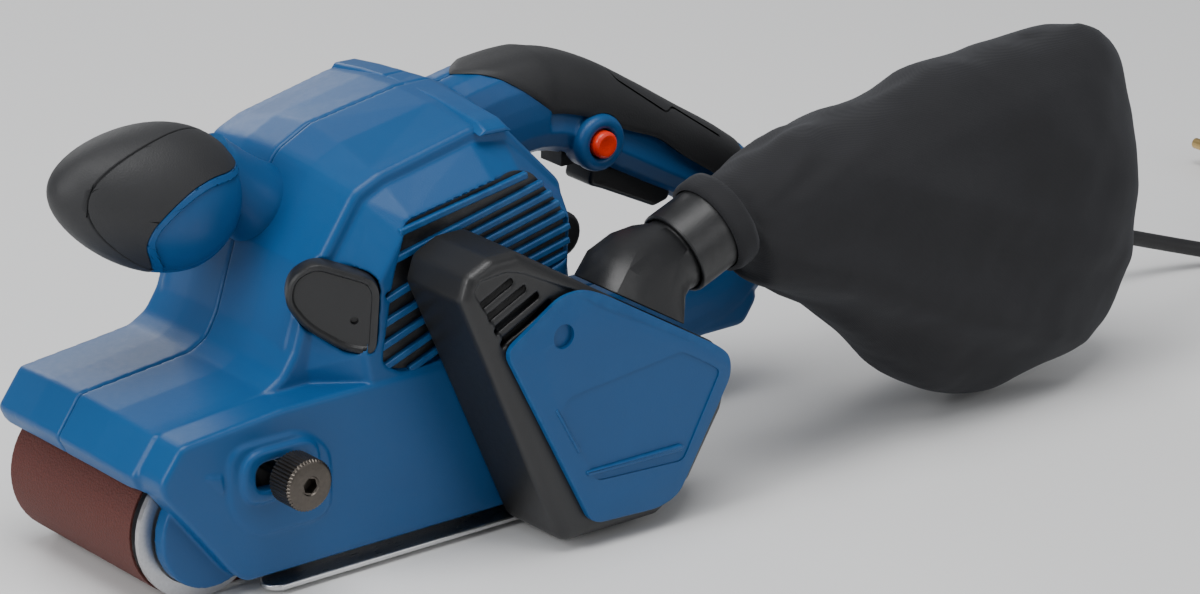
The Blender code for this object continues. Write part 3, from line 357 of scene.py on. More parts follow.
def loft(loops, around=False):
    """Closed skin over rings of points; around joins the last ring to the first."""
    bm = bmesh.new()
    rings = [[bm.verts.new(Vector(p) * MM) for p in loop] for loop in loops]
    for a, b in zip(rings, rings[1:] + (rings[:1] if around else [])):
        count = len(a)
        for k in range(count):
            bm.faces.new((a[k], a[(k + 1) % count], b[(k + 1) % count], b[k]))
    if not around:
        bm.faces.new(rings[0][::-1])
        bm.faces.new(rings[-1])
    bmesh.ops.recalc_face_normals(bm, faces=bm.faces)
    return bm


def prism(points, y0, y1):
    return loft([xz(points, y0), xz(points, y1)])


def soft_plate(points, y0, y1, edge, steps=3):
    """A plate along Y with a rounded front edge."""
    loops = [xz(points, y0)]
    for k in range(steps + 1):
        a = pi / 2 * k / steps
        loops.append(xz(inset(points, edge * (1 - cos(a))), y1 - edge + edge * sin(a)))
    return loft(loops)


def lathe(profile, centre, axis, count=48, around=False):
    """Turned body; the profile is in pairs of distance along the axis and radius."""
    axis = Vector(axis).normalized()
    side = axis.orthogonal().normalized()
    other = axis.cross(side)
    centre = Vector(centre)
    loops = []
    for along, r in profile:
        r = max(r, 0.001)
        loops.append([centre + axis * along + side * (r * cos(2 * pi * k / count))
                      + other * (r * sin(2 * pi * k / count)) for k in range(count)])
    return loft(loops, around=around)


def sweep(points, radius, count, taper):
    """A round tube through points."""
    points = [Vector(p) for p in points]
    loops = []
    side = None
    for i, p in enumerate(points):
        ahead = (points[min(i + 1, len(points) - 1)] - points[max(i - 1, 0)]).normalized()
        side = ahead.orthogonal() if side is None else side - ahead * side.dot(ahead)
        side.normalize()
        other = ahead.cross(side)
        r = radius * taper(i / (len(points) - 1))
        loops.append([p + side * (r * cos(2 * pi * k / count)) + other * (r * sin(2 * pi * k / count))
                      for k in range(count)])
    return loft(loops)


def piece(name, bm, mat, body="root", replaces=(), smooth=38.0):
    """A shown piece; edges sharper than smooth degrees stay crisp."""
    mesh = bpy.data.meshes.new(name)
    bm.to_mesh(mesh)
    bm.free()
    obj = bpy.data.objects.new(name, mesh)
    bpy.context.scene.collection.objects.link(obj)
    mesh.materials.append(MATS[mat])
    mesh.shade_smooth()
    mesh.set_sharp_from_angle(angle=radians(smooth))
    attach(obj, body)
    if replaces:
        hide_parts(*replaces)
    return obj


def apply_modifiers(obj):
    bpy.context.view_layer.update()
    done = bpy.data.meshes.new_from_object(obj.evaluated_get(bpy.context.evaluated_depsgraph_get()))
    old = obj.data
    obj.modifiers.clear()
    obj.data = done
    bpy.data.meshes.remove(old)


def boolean(obj, operation, cutters):
    """Exact union, cut or intersection with each cutter in turn, applied at once."""
    for bm in cutters:
        mesh = bpy.data.meshes.new("tool")
        bm.to_mesh(mesh)
        bm.free()
        tool = bpy.data.objects.new("tool", mesh)
        bpy.context.scene.collection.objects.link(tool)
        mod = obj.modifiers.new("cut", "BOOLEAN")
        mod.operation = operation
        mod.object = tool
        mod.solver = "EXACT"
        apply_modifiers(obj)
        bpy.data.objects.remove(tool)
        bpy.data.meshes.remove(mesh)


def bevelled(obj, width, segments=2, angle=32.0):
    mod = obj.modifiers.new("edges", "BEVEL")
    mod.width = width * MM
    mod.segments = segments
    mod.limit_method = "ANGLE"
    mod.angle_limit = radians(angle)
    mod.use_clamp_overlap = False
    mod.miter_outer = "MITER_ARC"
    flat = obj.modifiers.new("normals", "WEIGHTED_NORMAL")
    flat.weight = 60
    flat.keep_sharp = True


def clean_copy(node):
    """A copy of a CAD node's mesh with plain joined faces."""
    bm = bmesh.new()
    bm.from_mesh(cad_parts[node].data)
    bmesh.ops.remove_doubles(bm, verts=bm.verts, dist=2e-6)
    bmesh.ops.dissolve_limit(bm, angle_limit=radians(0.6), verts=bm.verts, edges=bm.edges)
    verts = [v.co.copy() for v in bm.verts]
    bm.verts.ensure_lookup_table()
    faces = [[v.index for v in f.verts] for f in bm.faces]
    bm.free()
    out = bmesh.new()
    made = [out.verts.new(co) for co in verts]
    for f in faces:
        out.faces.new([made[i] for i in f])
    return out


def resharpen(obj, smooth):
    obj.data.shade_smooth()
    obj.data.set_sharp_from_angle(angle=radians(smooth))


def skin(node, mat, width, body="root", smooth=38.0, segments=2):
    """A bevelled copy of a CAD node that stands for it."""
    obj = piece(node + "_skin", clean_copy(node), mat, body, (node,), smooth)
    resharpen(obj, smooth)
    bevelled(obj, width, segments)


RELAX_PASSES = 4


def moulded(obj, voxel):
    """Even remesh and a light relax: every edge of the moulding gets its small radius."""
    remesh = obj.modifiers.new("even", "REMESH")
    remesh.mode = "VOXEL"
    remesh.voxel_size = voxel * MM
    relax = obj.modifiers.new("relax", "SMOOTH")
    relax.factor = 0.5
    relax.iterations = RELAX_PASSES
    apply_modifiers(obj)
    obj.data.shade_smooth()


def soft_skin(node, mat, voxel, cuts=(), joins=()):
    """A copy of a CAD node with added and cut detail, remeshed so that its edges are soft."""
    bm = bmesh.new()
    bm.from_mesh(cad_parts[node].data)
    obj = piece(node + "_skin", bm, mat, "root", (node,), 30)
    boolean(obj, "UNION", joins)
    boolean(obj, "DIFFERENCE", cuts)
    moulded(obj, voxel)


def outside(block, core):
    """The part of a block that lies outside a core; both are used up."""
    obj = bpy.data.objects.new("shell", bpy.data.meshes.new("shell"))
    bpy.context.scene.collection.objects.link(obj)
    block.to_mesh(obj.data)
    block.free()
    boolean(obj, "DIFFERENCE", [core])
    out = bmesh.new()
    out.from_mesh(obj.data)
    bpy.data.objects.remove(obj)
    return out


def repaint(node, mat):
    """Gives a CAD node that stays in view its better material."""
    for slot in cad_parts[node].material_slots:
        slot.material = MATS[mat]


# ------------------------------------------------------------------ cord, coil and plug
CORD_D = 6.2
CORD_ROUTE = [(-200.5, 0.0, 81.4), (-225.0, 0.0, 75.2), (-252.0, 0.2, 68.2), (-285.0, 1.0, 58.5),
              (-320.0, 2.2, 46.5), (-354.0, 4.0, 34.8), (-386.0, 7.0, 23.6), (-410.0, 10.5, 15.4),
              (-430.0, 15.0, 9.0), (-445.0, 22.0, 4.8), (-452.0, 32.0, 3.4), (-452.7, 42.0, 3.3)]
COIL_AT = (-500.0, 42.0)
COIL_MID_R = 34.0
COIL_TURNS = 10.5
COIL_PITCH = 1.03                      # distance between turns, in cord diameters
COIL_STEPS = 30                        # points in each turn
COIL_SHIFT = 0.24                      # share of a turn in which it moves to the next place
PLUG_X, PLUG_BACK_Y, PLUG_Z = -532.0, -25.0, 9.6
TAIL = [(-534.3, 30, 22.3), (-534.3, 20, 21.6), (-534.0, 10, 19.4), (-533.4, 0, 16.2), (-532.8, -9, 13.0),
        (-532.3, -17, 10.8), (PLUG_X, PLUG_BACK_Y - 3, PLUG_Z)]
GUARD_AT = Vector((-197.0, 0.0, 82.2))
GUARD_AIM = Vector((-1, 0, -0.25)).normalized()


def through(p0, p1, p2, p3, t):
    """Point at share t between p1 and p2, on a smooth curve through all four."""
    return 0.5 * (2 * p1 + (p2 - p0) * t + (2 * p0 - 5 * p1 + 4 * p2 - p3) * t ** 2
                  + (3 * p1 - p0 - 3 * p2 + p3) * t ** 3)


def smooth_route(points, spacing):
    """Points about spacing apart on a smooth curve through the given ones."""
    pts = [Vector(p) for p in points]
    out = []
    for i in range(len(pts) - 1):
        p0, p1, p2, p3 = pts[max(i - 1, 0)], pts[i], pts[i + 1], pts[min(i + 2, len(pts) - 1)]
        steps = max(1, round((p2 - p1).length / spacing))
        out += [through(p0, p1, p2, p3, k / steps) for k in range(steps)]
    out.append(pts[-1])
    return out


def coil_place(turn):
    """Radius and height of a turn: three columns, filled layer by layer."""
    step = CORD_D * COIL_PITCH
    layer, place = divmod(turn, 3)
    column = (1, 0, -1)[place] if layer % 2 == 0 else (-1, 0, 1)[place]
    return COIL_MID_R + column * step, CORD_D / 2 + 0.2 + layer * step


def coil_points():
    cx, cy = COIL_AT
    points = []
    for n in range(int(COIL_TURNS * COIL_STEPS) + 1):
        turn, part = divmod(n / COIL_STEPS, 1.0)
        (r0, z0), (r1, z1) = coil_place(int(turn)), coil_place(int(turn) + 1)
        s = max(0.0, (part - 1 + COIL_SHIFT) / COIL_SHIFT)
        s = s * s * (3 - 2 * s)
        r = r0 + (r1 - r0) * s
        a = 2 * pi * part
        points.append(Vector((cx + r * cos(a), cy + r * sin(a), z0 + (z1 - z0) * s)))
    return points


def mains_cord():
    lead = smooth_route(CORD_ROUTE[:-1], 9.0)
    turns = coil_points()
    points = lead + turns + smooth_route([turns[-1]] + TAIL, 6.0)[1:]
    curve = bpy.data.curves.new("mains_cord", "CURVE")
    curve.dimensions = "3D"
    curve.bevel_depth = CORD_D / 2 * MM
    curve.bevel_resolution = 5
    curve.use_fill_caps = True
    spline = curve.splines.new("POLY")
    spline.points.add(len(points) - 1)
    for point, target in zip(spline.points, points):
        point.co = (*(Vector(target) * MM), 1.0)
    curve.materials.append(MATS["cord"])
    cord = bpy.data.objects.new("mains_cord", curve)
    bpy.context.scene.collection.objects.link(cord)
    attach(cord, "root")
    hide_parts("power_cord", "cord_coil")
    plug = plug_piece()
    for node in ("plug_pin_1", "plug_pin_2"):
        repaint(node, "brass")


def plug_piece():
    """Moulded two-pin plug with a waist, grip ribs and a ringed strain relief."""
    outline = [(6, 0), (13.5, -5), (16.5, -14), (15.5, -29), (12, -33), (-12, -33), (-15.5, -29),
               (-16.5, -14), (-13.5, -5), (-6, 0)]
    body = rounded([(PLUG_X + x, PLUG_BACK_Y + y) for x, y in outline], 5, 4)
    levels = [(0.2, 3.4), (1.0, 1.6), (2.6, 0.5), (5.0, 0.0), (14.0, 0.0), (16.6, 0.5), (18.2, 1.6),
              (19.0, 3.4)]             # height, distance in from the outline
    plug = piece("plug_moulding", loft([[(x, y, z) for x, y in inset(body, d)] for z, d in levels]),
                 "cord", replaces=("plug_body",))
    ribs = []
    for k in range(5):
        y = PLUG_BACK_Y - 10.5 - 3.2 * k
        line = [(PLUG_X - 10.5, y, 18.9), (PLUG_X, y, 19.05), (PLUG_X + 10.5, y, 18.9)]
        ribs.append(sweep(line, 0.75, 8, lambda t: max(0.25, 1 - (2 * t - 1) ** 6)))
    boolean(plug, "UNION", ribs)
    relief = [(0.0, 6.2)]
    for k in range(5):
        at = 1.2 + 3.6 * k
        r = 5.9 - 0.42 * k
        relief += [(at, r), (at + 1.8, r - 0.05), (at + 2.1, r - 0.9), (at + 3.3, r - 1.0)]
    relief += [(19.6, 3.7), (20.0, 3.2)]
    aim = Vector(TAIL[-2]) - Vector(TAIL[-1])
    sleeve = lathe(relief, (PLUG_X, PLUG_BACK_Y - 1.5, PLUG_Z), aim, 28)
    boolean(plug, "UNION", [sleeve])
    resharpen(plug, 38)
    return plug


def cord_guard():
    """Tapered, ringed strain relief at the handle."""
    profile = [(0, 3.4), (0, 5.4), (9.0, 5.3)]
    for k in range(8):
        at = 10.0 + 4.6 * k
        r = 5.25 - 0.14 * k
        profile += [(at, r), (at + 2.5, r - 0.05), (at + 2.9, r - 0.75), (at + 4.1, r - 0.78)]
    profile += [(48.5, 4.15), (51.2, 4.0), (51.8, 3.4)]
    piece("cord_guard_skin", lathe(profile, GUARD_AT, GUARD_AIM, 32, around=True), "cord",
          replaces=("cord_guard",))


# ------------------------------------------------------------------ front knob
KNOB_TILT = radians(15.6)
KNOB_AXIS = Vector((cos(KNOB_TILT), 0.0, sin(KNOB_TILT)))
KNOB_CENTRE = Vector((65.0, 0.0, 134.9))
KNOB_LONG, KNOB_WIDE, KNOB_TALL = 38.3, 25.0, 25.8
KNOB_TAPER = -0.25
KNOB_SEAM = [(8, 143), (39, 143.4), (50, 144.4), (60, 142.3), (69, 137), (75, 131), (76.5, 124),
             (72, 116), (66, 108), (60, 98), (8, 98)]


KNOB_RINGS, KNOB_COUNT = 30, 72
NECK_FOOT = (17.6, 0, 122)
NECK_AXIS = (0.738, 0, 0.675)
NECK_PROFILE = [(-4, 0), (-4, 15.0), (0, 15.2), (4, 14.6), (9, 13.2), (16, 12.2), (24, 11.6), (30, 11.4),
                (30, 0)]


def knob_egg(grow=0.0):
    """The knob's egg, moved out by grow."""
    up = Vector((-KNOB_AXIS.z, 0, KNOB_AXIS.x))
    turn = [2 * pi * k / KNOB_COUNT for k in range(KNOB_COUNT)]
    loops = []
    for i in range(KNOB_RINGS + 1):
        t = radians(-86 + 172 * i / KNOB_RINGS)
        scale = cos(t) * (1 + KNOB_TAPER * sin(t))
        centre = KNOB_CENTRE + KNOB_AXIS * ((KNOB_LONG + grow) * sin(t))
        wide, tall = (KNOB_WIDE + grow) * scale, (KNOB_TALL + grow) * scale
        loops.append([centre + Vector((0, wide * cos(a), 0)) + up * (tall * sin(a)) for a in turn])
    return loft(loops)


def front_knob():
    """Soft cap with a raised middle saddle, on a blue base."""
    seam = rounded(KNOB_SEAM, 7, 6)
    grip = piece("front_knob_cap", knob_egg(), "rubber", replaces=("front_knob_grip",))
    boolean(grip, "DIFFERENCE", [prism(inset(seam, -0.3), -45, 45)])
    for side in (-1, 1):
        line = [(x, side * (12.0 - 0.0055 * (x - 86.0) ** 2)) for x in range(24, 112, 4)]
        groove = [(x, y - 0.3) for x, y in line] + [(x, y + 0.3) for x, y in reversed(line)]
        cutter = loft([[(x, y, z) for x, y in groove] for z in (96, 175)])
        boolean(grip, "DIFFERENCE", [outside(cutter, knob_egg(-0.7))])
    resharpen(grip, 40)
    bevelled(grip, 0.25, 2, 40)
    base = piece("front_knob_cheek", knob_egg(-0.15), "blue", replaces=("front_knob_base",))
    boolean(base, "INTERSECT", [prism(seam, -45, 45)])
    piece("front_knob_neck", lathe(NECK_PROFILE, NECK_FOOT, NECK_AXIS, 56), "blue",
          replaces=("front_knob_base",), smooth=50)
    for side in (-1, 1):
        step = prism(inset(seam, 2.6), side * 50, side * 10)
        boolean(base, "DIFFERENCE", [outside(step, knob_egg(-1.0))])
    resharpen(base, 40)
    bevelled(base, 0.5, 3, 40)


# ------------------------------------------------------------------ casing details
VENT = [(-7.5, 125.0), (-56.0, 133.6), (-63.5, 131.2), (-77.0, 115.3), (-79.6, 104.2), (-77.5, 95.5),
        (-40.0, 84.0), (-23.5, 70.5), (-4.5, 69.5), (4.3, 75.0), (-1.0, 105.0)]


VENT_FLOOR_Y = 54.2
SLAT_BACK_Y, SLAT_FACE_Y = 54.1, 56.7
SLAT_HALF = 1.25
CASING_VOXEL, FAR_CASING_VOXEL, COVER_VOXEL = 0.65, 0.9, 0.6


def slat(a, b):
    """One slanted louvre between two points of the vent."""
    a, b = Vector(a), Vector(b)
    along = (b - a).normalized()
    side = Vector((-along.y, along.x)) * SLAT_HALF
    return prism([tuple(p) for p in (a + side, b + side, b - side, a - side)], SLAT_BACK_Y, SLAT_FACE_Y)


UPPER_SLATS = [((-4.5, 121.5), (-60.5, 131.0)), ((-2.5, 112.0), (-67.5, 126.5)),
               ((-12.0, 108.5), (-71.5, 121.9)), ((-25.0, 106.3), (-74.7, 117.5)),
               ((-36.0, 103.5), (-77.2, 112.8)), ((-47.0, 100.5), (-79.4, 107.8)),
               ((-56.0, 97.3), (-79.2, 102.5)), ((-64.0, 94.3), (-78.0, 97.5))]
LOWER_SLATS = [((1.8, 97.5), (-22.0, 105.0)), ((3.0, 89.0), (-26.0, 98.0)), ((4.2, 80.5), (-28.0, 91.5)),
               ((2.5, 73.0), (-30.0, 85.0)), ((-8.0, 69.5), (-30.0, 78.0))]


def left_casing():
    """Left half with its sunk vent, the scoop round the tracking knob and a pointer mark."""
    recess = rounded(VENT, 3.0, 4)
    cuts = [prism(recess, VENT_FLOOR_Y, 60.0)]
    slot_rim = rounded([(34, 37), (67, 37), (67, 57), (34, 57)], 9.5, 6)
    scoop = rounded([(28, 24), (62, 24), (72, 37), (72, 60), (40, 60), (28, 50)], 9.0, 6)
    joins = [soft_plate(scoop, 57.0, 59.1, 1.4), soft_plate(slot_rim, 57.0, 61.0, 1.6)]
    joins.append(prism([(80.4, 51.6), (74.0, 50.4), (73.6, 43.8)], 57.0, 58.8))
    slot = rounded([(38.4, 41.6), (61.5, 41.6), (61.5, 52.4), (38.4, 52.4)], 5.2, 6)
    cuts.append(prism(slot, 50, 66))
    soft_skin("housing_left", "blue", CASING_VOXEL, cuts, joins)
    # The black plate under the slats is painted shade: it stands for the dark inside seen through the vent.
    floor = prism(inset(recess, 0.2), SLAT_BACK_Y, SLAT_BACK_Y + 0.4)
    piece("vent_shade_plate", floor, "black")
    grille = bpy.data.meshes.new("grille")
    merged = bmesh.new()
    for a, b in UPPER_SLATS + LOWER_SLATS:
        bm = slat(a, b)
        bm.to_mesh(grille)
        merged.from_mesh(grille)
        bm.free()
    bpy.data.meshes.remove(grille)
    bevelled(piece("vent_slats", merged, "blue"), 0.5)


def ridge_bar():
    """Two-part bar across the top of the motor casing."""
    profile = [(-60.5, 148.0), (-57.8, 151.6), (-48.6, 151.9), (-45.8, 148.6)]
    for name, y0, y1, lean in (("ridge_bar_near", -11.4, 44.6, 3.0), ("ridge_bar_far", -44.0, -12.0, 0.0)):
        loops = []
        for y, rise in ((y0, 0.0), (0.5 * (y0 + y1), 0.0), (y1 - 2, 0.0), (y1 + lean, 1.0)):
            drop = 3.4 * (abs(y) / 44.0) ** 2
            loops.append([(x, y, z + 1.2 - drop - (1.6 * rise if z > 150 else 0)) for x, z in profile])
        bevelled(piece(name, loft(loops), "blue"), 0.7, 3)


# ------------------------------------------------------------------ brush cover
BRUSH_ALONG = Vector((26.0, -16.0, 0.0)).normalized()
BRUSH_OUT = Vector((16.0, 26.0, 0.0)).normalized()
BRUSH_AT = Vector((7.0, 55.0, 94.0))
BRUSH_OUTLINE = [(-1, -15), (10, -13), (24, -4), (31, 6), (29, 16), (20, 21), (-3, 13)]


def brush_loop(points, depth):
    """A flat outline placed on the brush cover's slanted face, depth out of it."""
    return [BRUSH_AT + BRUSH_ALONG * a + Vector((0, 0, b)) + BRUSH_OUT * depth for a, b in points]


def brush_cover():
    """D-shaped cap over the front brush: raised rim, sunk flat face, small screw hole."""
    outline = rounded(BRUSH_OUTLINE, 7.0, 8)
    steps = ((0.0, -3.9), (0.0, 2.2), (0.5, 3.1), (1.3, 3.5), (2.2, 3.2), (2.9, 2.2))
    loops = [brush_loop(inset(outline, by), depth) for by, depth in steps]
    obj = piece("brush_cover_skin", loft(loops), "black", replaces=("brush_cover",))
    flat = [(-7, -20), (4.5, -20), (0.0, 24), (-11, 24)]
    hole = BRUSH_AT + BRUSH_ALONG * 6.5 + Vector((0, 0, -1.5)) + BRUSH_OUT * 0.8
    boolean(obj, "DIFFERENCE", [loft([brush_loop(flat, depth) for depth in (2.6, 6.0)]),
                                lathe([(0, 1.5), (3, 1.5)], hole, BRUSH_OUT, 20)])
    resharpen(obj, 34)


# ------------------------------------------------------------------ drive cover
BADGE = [(-21.5, 84), (-46.5, 99.3), (-56.5, 99.6), (-66, 95.5), (-116, 65.2), (-122.4, 60), (-123, 52),
         (-99, 11.5), (-90, 8.6), (-59.5, 10.0)]


COVER_PANEL = [(-9.5, 108.0), (-12, 112.2), (-24, 113.2), (-31.5, 111.0), (-55, 99.0), (-47, 96.5),
               (-25.5, 83.2)]
COVER_SHADE_OUTLINE = [(-10.5, 106.5), (-13, 111), (-24, 112), (-31, 109.8), (-50, 99.5), (-28, 84)]
COVER_PANEL_Y = 91.0
BADGE_BACK_Y, BADGE_FACE_Y = 92.3, 95.2
BEVEL_LINE = [(-24.5, 79.5), (-36, 78.8), (-55, 91.6), (-63, 90.8), (-97.5, 69.0), (-103, 68.2),
              (-118.5, 58.5), (-124.5, 50.0), (-130, 70), (-60, 110), (-10, 90)]
BEVEL_FALL = (0, 0, 0, 0, 0, 0, 0, 0, 2.4, 2.4, 2.4)
BADGE_PANEL = [(-48.5, 61.5), (-99.5, 66.8), (-112.5, 58.8), (-117.5, 55.0), (-100.5, 24.5), (-61.0, 26.5),
               (-45.0, 55.0)]


def drive_cover():
    """Black cover with a sunk, slotted panel, and a dark plate behind the slots: painted shade for the
    inside.
    """
    panel = rounded(COVER_PANEL, 1.0, 3)
    soft_skin("drive_cover", "black", COVER_VOXEL, [prism(panel, COVER_PANEL_Y, 96.0)])
    # The plate behind the slots is painted shade: it stands for the dark inside of the cover.
    piece("cover_slot_shade_plate", prism(rounded(COVER_SHADE_OUTLINE, 2, 3), 85.5, 86.5), "carbon")


def raised_line(name, points, radius, face_y, edge):
    """A small blue rib standing on the badge."""
    piece(name, soft_plate(rounded(points, radius, 3), 94.5, face_y, edge), "blue")


def badge():
    """Blue plate with a broad bevel, a round recess and plain relief lines."""
    plate = soft_plate(rounded(BADGE, 5, 6), BADGE_BACK_Y, BADGE_FACE_Y, 0.9)
    obj = piece("badge_skin", plate, "blue", replaces=("badge_plate",))
    low = [(x, 95.25 - fall, z) for (x, z), fall in zip(BEVEL_LINE, BEVEL_FALL)]
    hole = lathe([(0, 0), (0, 4.4), (4, 4.7), (6, 5.4)], (-46.4, 93.4, 84.8), (0, 1, 0), 40)
    boolean(obj, "DIFFERENCE", [loft([low, xz(BEVEL_LINE, 99.0)]), hole,
                                prism(rounded(BADGE_PANEL, 2.5, 4), 94.75, 97.0)])
    raised_line("badge_ledge", [(-56.0, 31.4), (-56.6, 29.6), (-99.6, 28.6), (-100.6, 30.0), (-99.4, 31.2)],
                0.6, 96.0, 0.6)
    raised_line("badge_side_rib", [(-43.6, 58.4), (-42.6, 57.4), (-52.6, 39.2), (-53.8, 39.8)],
                0.4, 95.6, 0.4)
    resharpen(obj, 30)


COVER_SCREWS = ((-119.0, 26.5), (-106.5, 9.5))
SCREW_Y, SCREW_R = 78.9, 3.5


def cover_screw(number, x, z):
    """Pan head with a six-lobed drive hole."""
    r = SCREW_R
    centre = Vector((x, SCREW_Y, z))
    profile = [(-1.2, 0), (-1.2, r), (1.2, r), (1.8, r * 0.96), (2.3, r * 0.85), (2.6, r * 0.62), (2.6, 0)]
    obj = piece(f"cover_screw_head_{number}", lathe(profile, centre, (0, 1, 0), 36), "steel",
                replaces=(f"cover_screw_{number}",))
    axis = Vector((0, 1, 0))
    side = axis.orthogonal().normalized()
    other = axis.cross(side)
    lobe = []
    for k in range(24):
        a = 2 * pi * k / 24
        reach = r * (0.42 + 0.09 * cos(6 * a))
        lobe.append(side * (reach * cos(a)) + other * (reach * sin(a)))
    boolean(obj, "DIFFERENCE", [loft([[centre + axis * h + p for p in lobe] for h in (0.6, 4.0)])])
    resharpen(obj, 35)


# ------------------------------------------------------------------ handle
HANDLE_HALF = 16.0
HANDLE_PATH = [(-66, 131), (-84, 135), (-103, 136), (-120, 131), (-140, 120), (-160, 108), (-180, 96),
               (-195, 84), (-201, 68), (-196, 52), (-182, 43), (-160, 41), (-130, 42), (-96, 46)]
HANDLE_FRAMES = 27
HANDLE_POWER = 3.0                     # how square the handle's section is
LOCK_AT = (-124.0, 119.0)


def handle_point(u):
    """Point and outward normal at place u along the handle's centre line, u counted in half spans."""
    pts = [Vector(p) for p in HANDLE_PATH]

    def at(v):
        v = min(max(v, 0.0), len(pts) - 1.0001)
        i = int(v)
        return through(pts[max(i - 1, 0)], pts[i], pts[i + 1], pts[min(i + 2, len(pts) - 1)], v - i)

    ahead = (at(u / 2 + 0.5) - at(u / 2 - 0.5)).normalized()
    return at(u / 2), Vector((ahead.y, -ahead.x))


def handle_surface(u, angle, lift):
    """Point on the handle; angle 0 is the outward side, lift is measured out of the nominal surface."""
    p, n = handle_point(u)
    half = 20.5 - 5.5 * min(1.0, u / (HANDLE_FRAMES - 1) / 0.5)
    scale = (abs(cos(angle)) ** HANDLE_POWER + abs(sin(angle)) ** HANDLE_POWER) ** (-1 / HANDLE_POWER)
    q = p + n * ((half + lift) * cos(angle) * scale)
    return Vector((q.x, (HANDLE_HALF + lift) * sin(angle) * scale, q.y))


GRIP_END = 13.0
GRIP_EDGE = radians(97.0)
GRIP_ROWS, GRIP_COLUMNS = 66, 49
GRIP_GROOVES = [
    [(-126.5, 149.5), (-128.9, 143.1), (-127.6, 135.9), (-157.6, 113.9), (-163.1, 115.0), (-178.0, 104.3)],
    [(-129.6, 148.6), (-132.0, 142.4), (-130.9, 137.5), (-157.6, 118.2), (-162.6, 119.4), (-181.0, 106.0)],
    [(-132.8, 147.2), (-134.9, 140.3), (-157.7, 123.0), (-162.4, 123.6), (-184.0, 108.0)]]
GROOVE_HALF, GROOVE_DEPTH = 0.42, 0.75


def grip_start(angle):
    """Where the grip begins: early on top, later down the sides."""
    share = min(1.0, abs(angle) / GRIP_EDGE)
    return 0.9 + 3.2 * share ** 1.3


def grip_edge(u):
    """How far round the grip reaches at place u; it clears the lock ring and shows the lower beam."""
    return radians(97.0 - 13.0 / (1 + (0.8 * (u - 9.3)) ** 2))


def grip_rows():
    """Rings of the grip, each running along its outside and back along its inside."""
    rings = []
    for i in range(GRIP_ROWS):
        t = i / (GRIP_ROWS - 1)
        row_out, row_in = [], []
        for k in range(GRIP_COLUMNS):
            share = 2 * k / (GRIP_COLUMNS - 1) - 1
            u = grip_start(GRIP_EDGE * share) * (1 - t) + GRIP_END * t
            angle = grip_edge(u) * share
            near = min(1.0, max(0.0, (u - 3.7) / 0.5))
            lift = 0.75 * (1 - near) + 0.15
            fall = min(1.0, t * 40, (1 - t) * 40, (1 - abs(share)) * 14)
            row_out.append(handle_surface(u, angle, lift - 0.7 * (1 - sqrt(max(0.0, 1 - (1 - fall) ** 2)))))
            row_in.append(handle_surface(u, angle, -0.6 if near < 0.5 else -2.4))
        rings.append(row_out + row_in[::-1])
    return rings


def handle_grip():
    """Soft overlay with three stepped grooves on each side."""
    obj = piece("handle_grip_skin", loft(grip_rows()), "rubber",
                replaces=("handle_grip",), smooth=60)
    lx, lz = LOCK_AT
    boolean(obj, "DIFFERENCE", [lathe([(5, 11.1), (25, 11.1)], (lx, 0, lz), (0, 1, 0), 48)])
    for side in (-1, 1):
        for line in GRIP_GROOVES:
            path = rounded_line(line, 2.5)
            strip = [(x, z + GROOVE_HALF) for x, z in path] + [(x, z - GROOVE_HALF) for x, z in path[::-1]]
            cut = loft([xz(strip, side * 8.0), xz(strip, side * 22.0)])
            boolean(obj, "DIFFERENCE", [outside(cut, handle_core(-GROOVE_DEPTH))])
    resharpen(obj, 42)


def rounded_line(points, radius, steps=3):
    """An open line with its corners turned into short curves."""
    pts = [Vector(p) for p in points]
    out = [pts[0]]
    for a, b, c in zip(pts, pts[1:], pts[2:]):
        reach = min(radius, 0.4 * (a - b).length, 0.4 * (c - b).length)
        start, end = b + (a - b).normalized() * reach, b + (c - b).normalized() * reach
        for k in range(steps + 1):
            t = k / steps
            out.append(start * (1 - t) ** 2 + b * 2 * t * (1 - t) + end * t ** 2)
    out.append(pts[-1])
    return [tuple(p) for p in out]


def handle_core(lift):
    """The front part of the handle as a solid, grown by lift."""
    places = [2.0 + 14.0 * i / 39 for i in range(40)]
    return loft([[handle_surface(u, 2 * pi * k / 48, lift) for k in range(48)] for u in places])


def lock_button():
    """Red button and the blue ring moulded round it."""
    x, z = LOCK_AT
    profile = [(9.1, 0), (9.1, 4.9), (19.6, 5.15), (20.6, 5.0), (21.3, 4.4), (21.5, 3.6), (21.2, 2.6),
               (21.05, 0)]
    piece("lock_button_skin", lathe(profile, (x, 0, z), (0, 1, 0), 48), "red", "lock_button",
          ("lock_button",), 50)
    ring = [(15.0, 5.9), (18.2, 5.9), (18.9, 6.4), (19.2, 7.4), (19.1, 9.0), (18.3, 10.2), (16.8, 10.8),
            (15.0, 10.9)]
    piece("lock_ring", lathe(ring, (x, 0, z), (0, 1, 0), 56, around=True), "blue", smooth=50)


# ------------------------------------------------------------------ tracking knob
TRACK_X, TRACK_Z = 50.0, 47.0
TRACK_TEETH = 44
TRACK_POINTS = TRACK_TEETH * 3
TRACK_TOP_R, TRACK_ROOT_R, TRACK_RIM_R = 9.6, 9.05, 8.7


def knob_ring(radii, y):
    """Ring about the tracking knob's axis, with the radii taken in turn."""
    turn = [2 * pi * k / TRACK_POINTS for k in range(TRACK_POINTS)]
    return [(TRACK_X + radii[k % 3] * cos(a), y, TRACK_Z + radii[k % 3] * sin(a)) for k, a in enumerate(turn)]


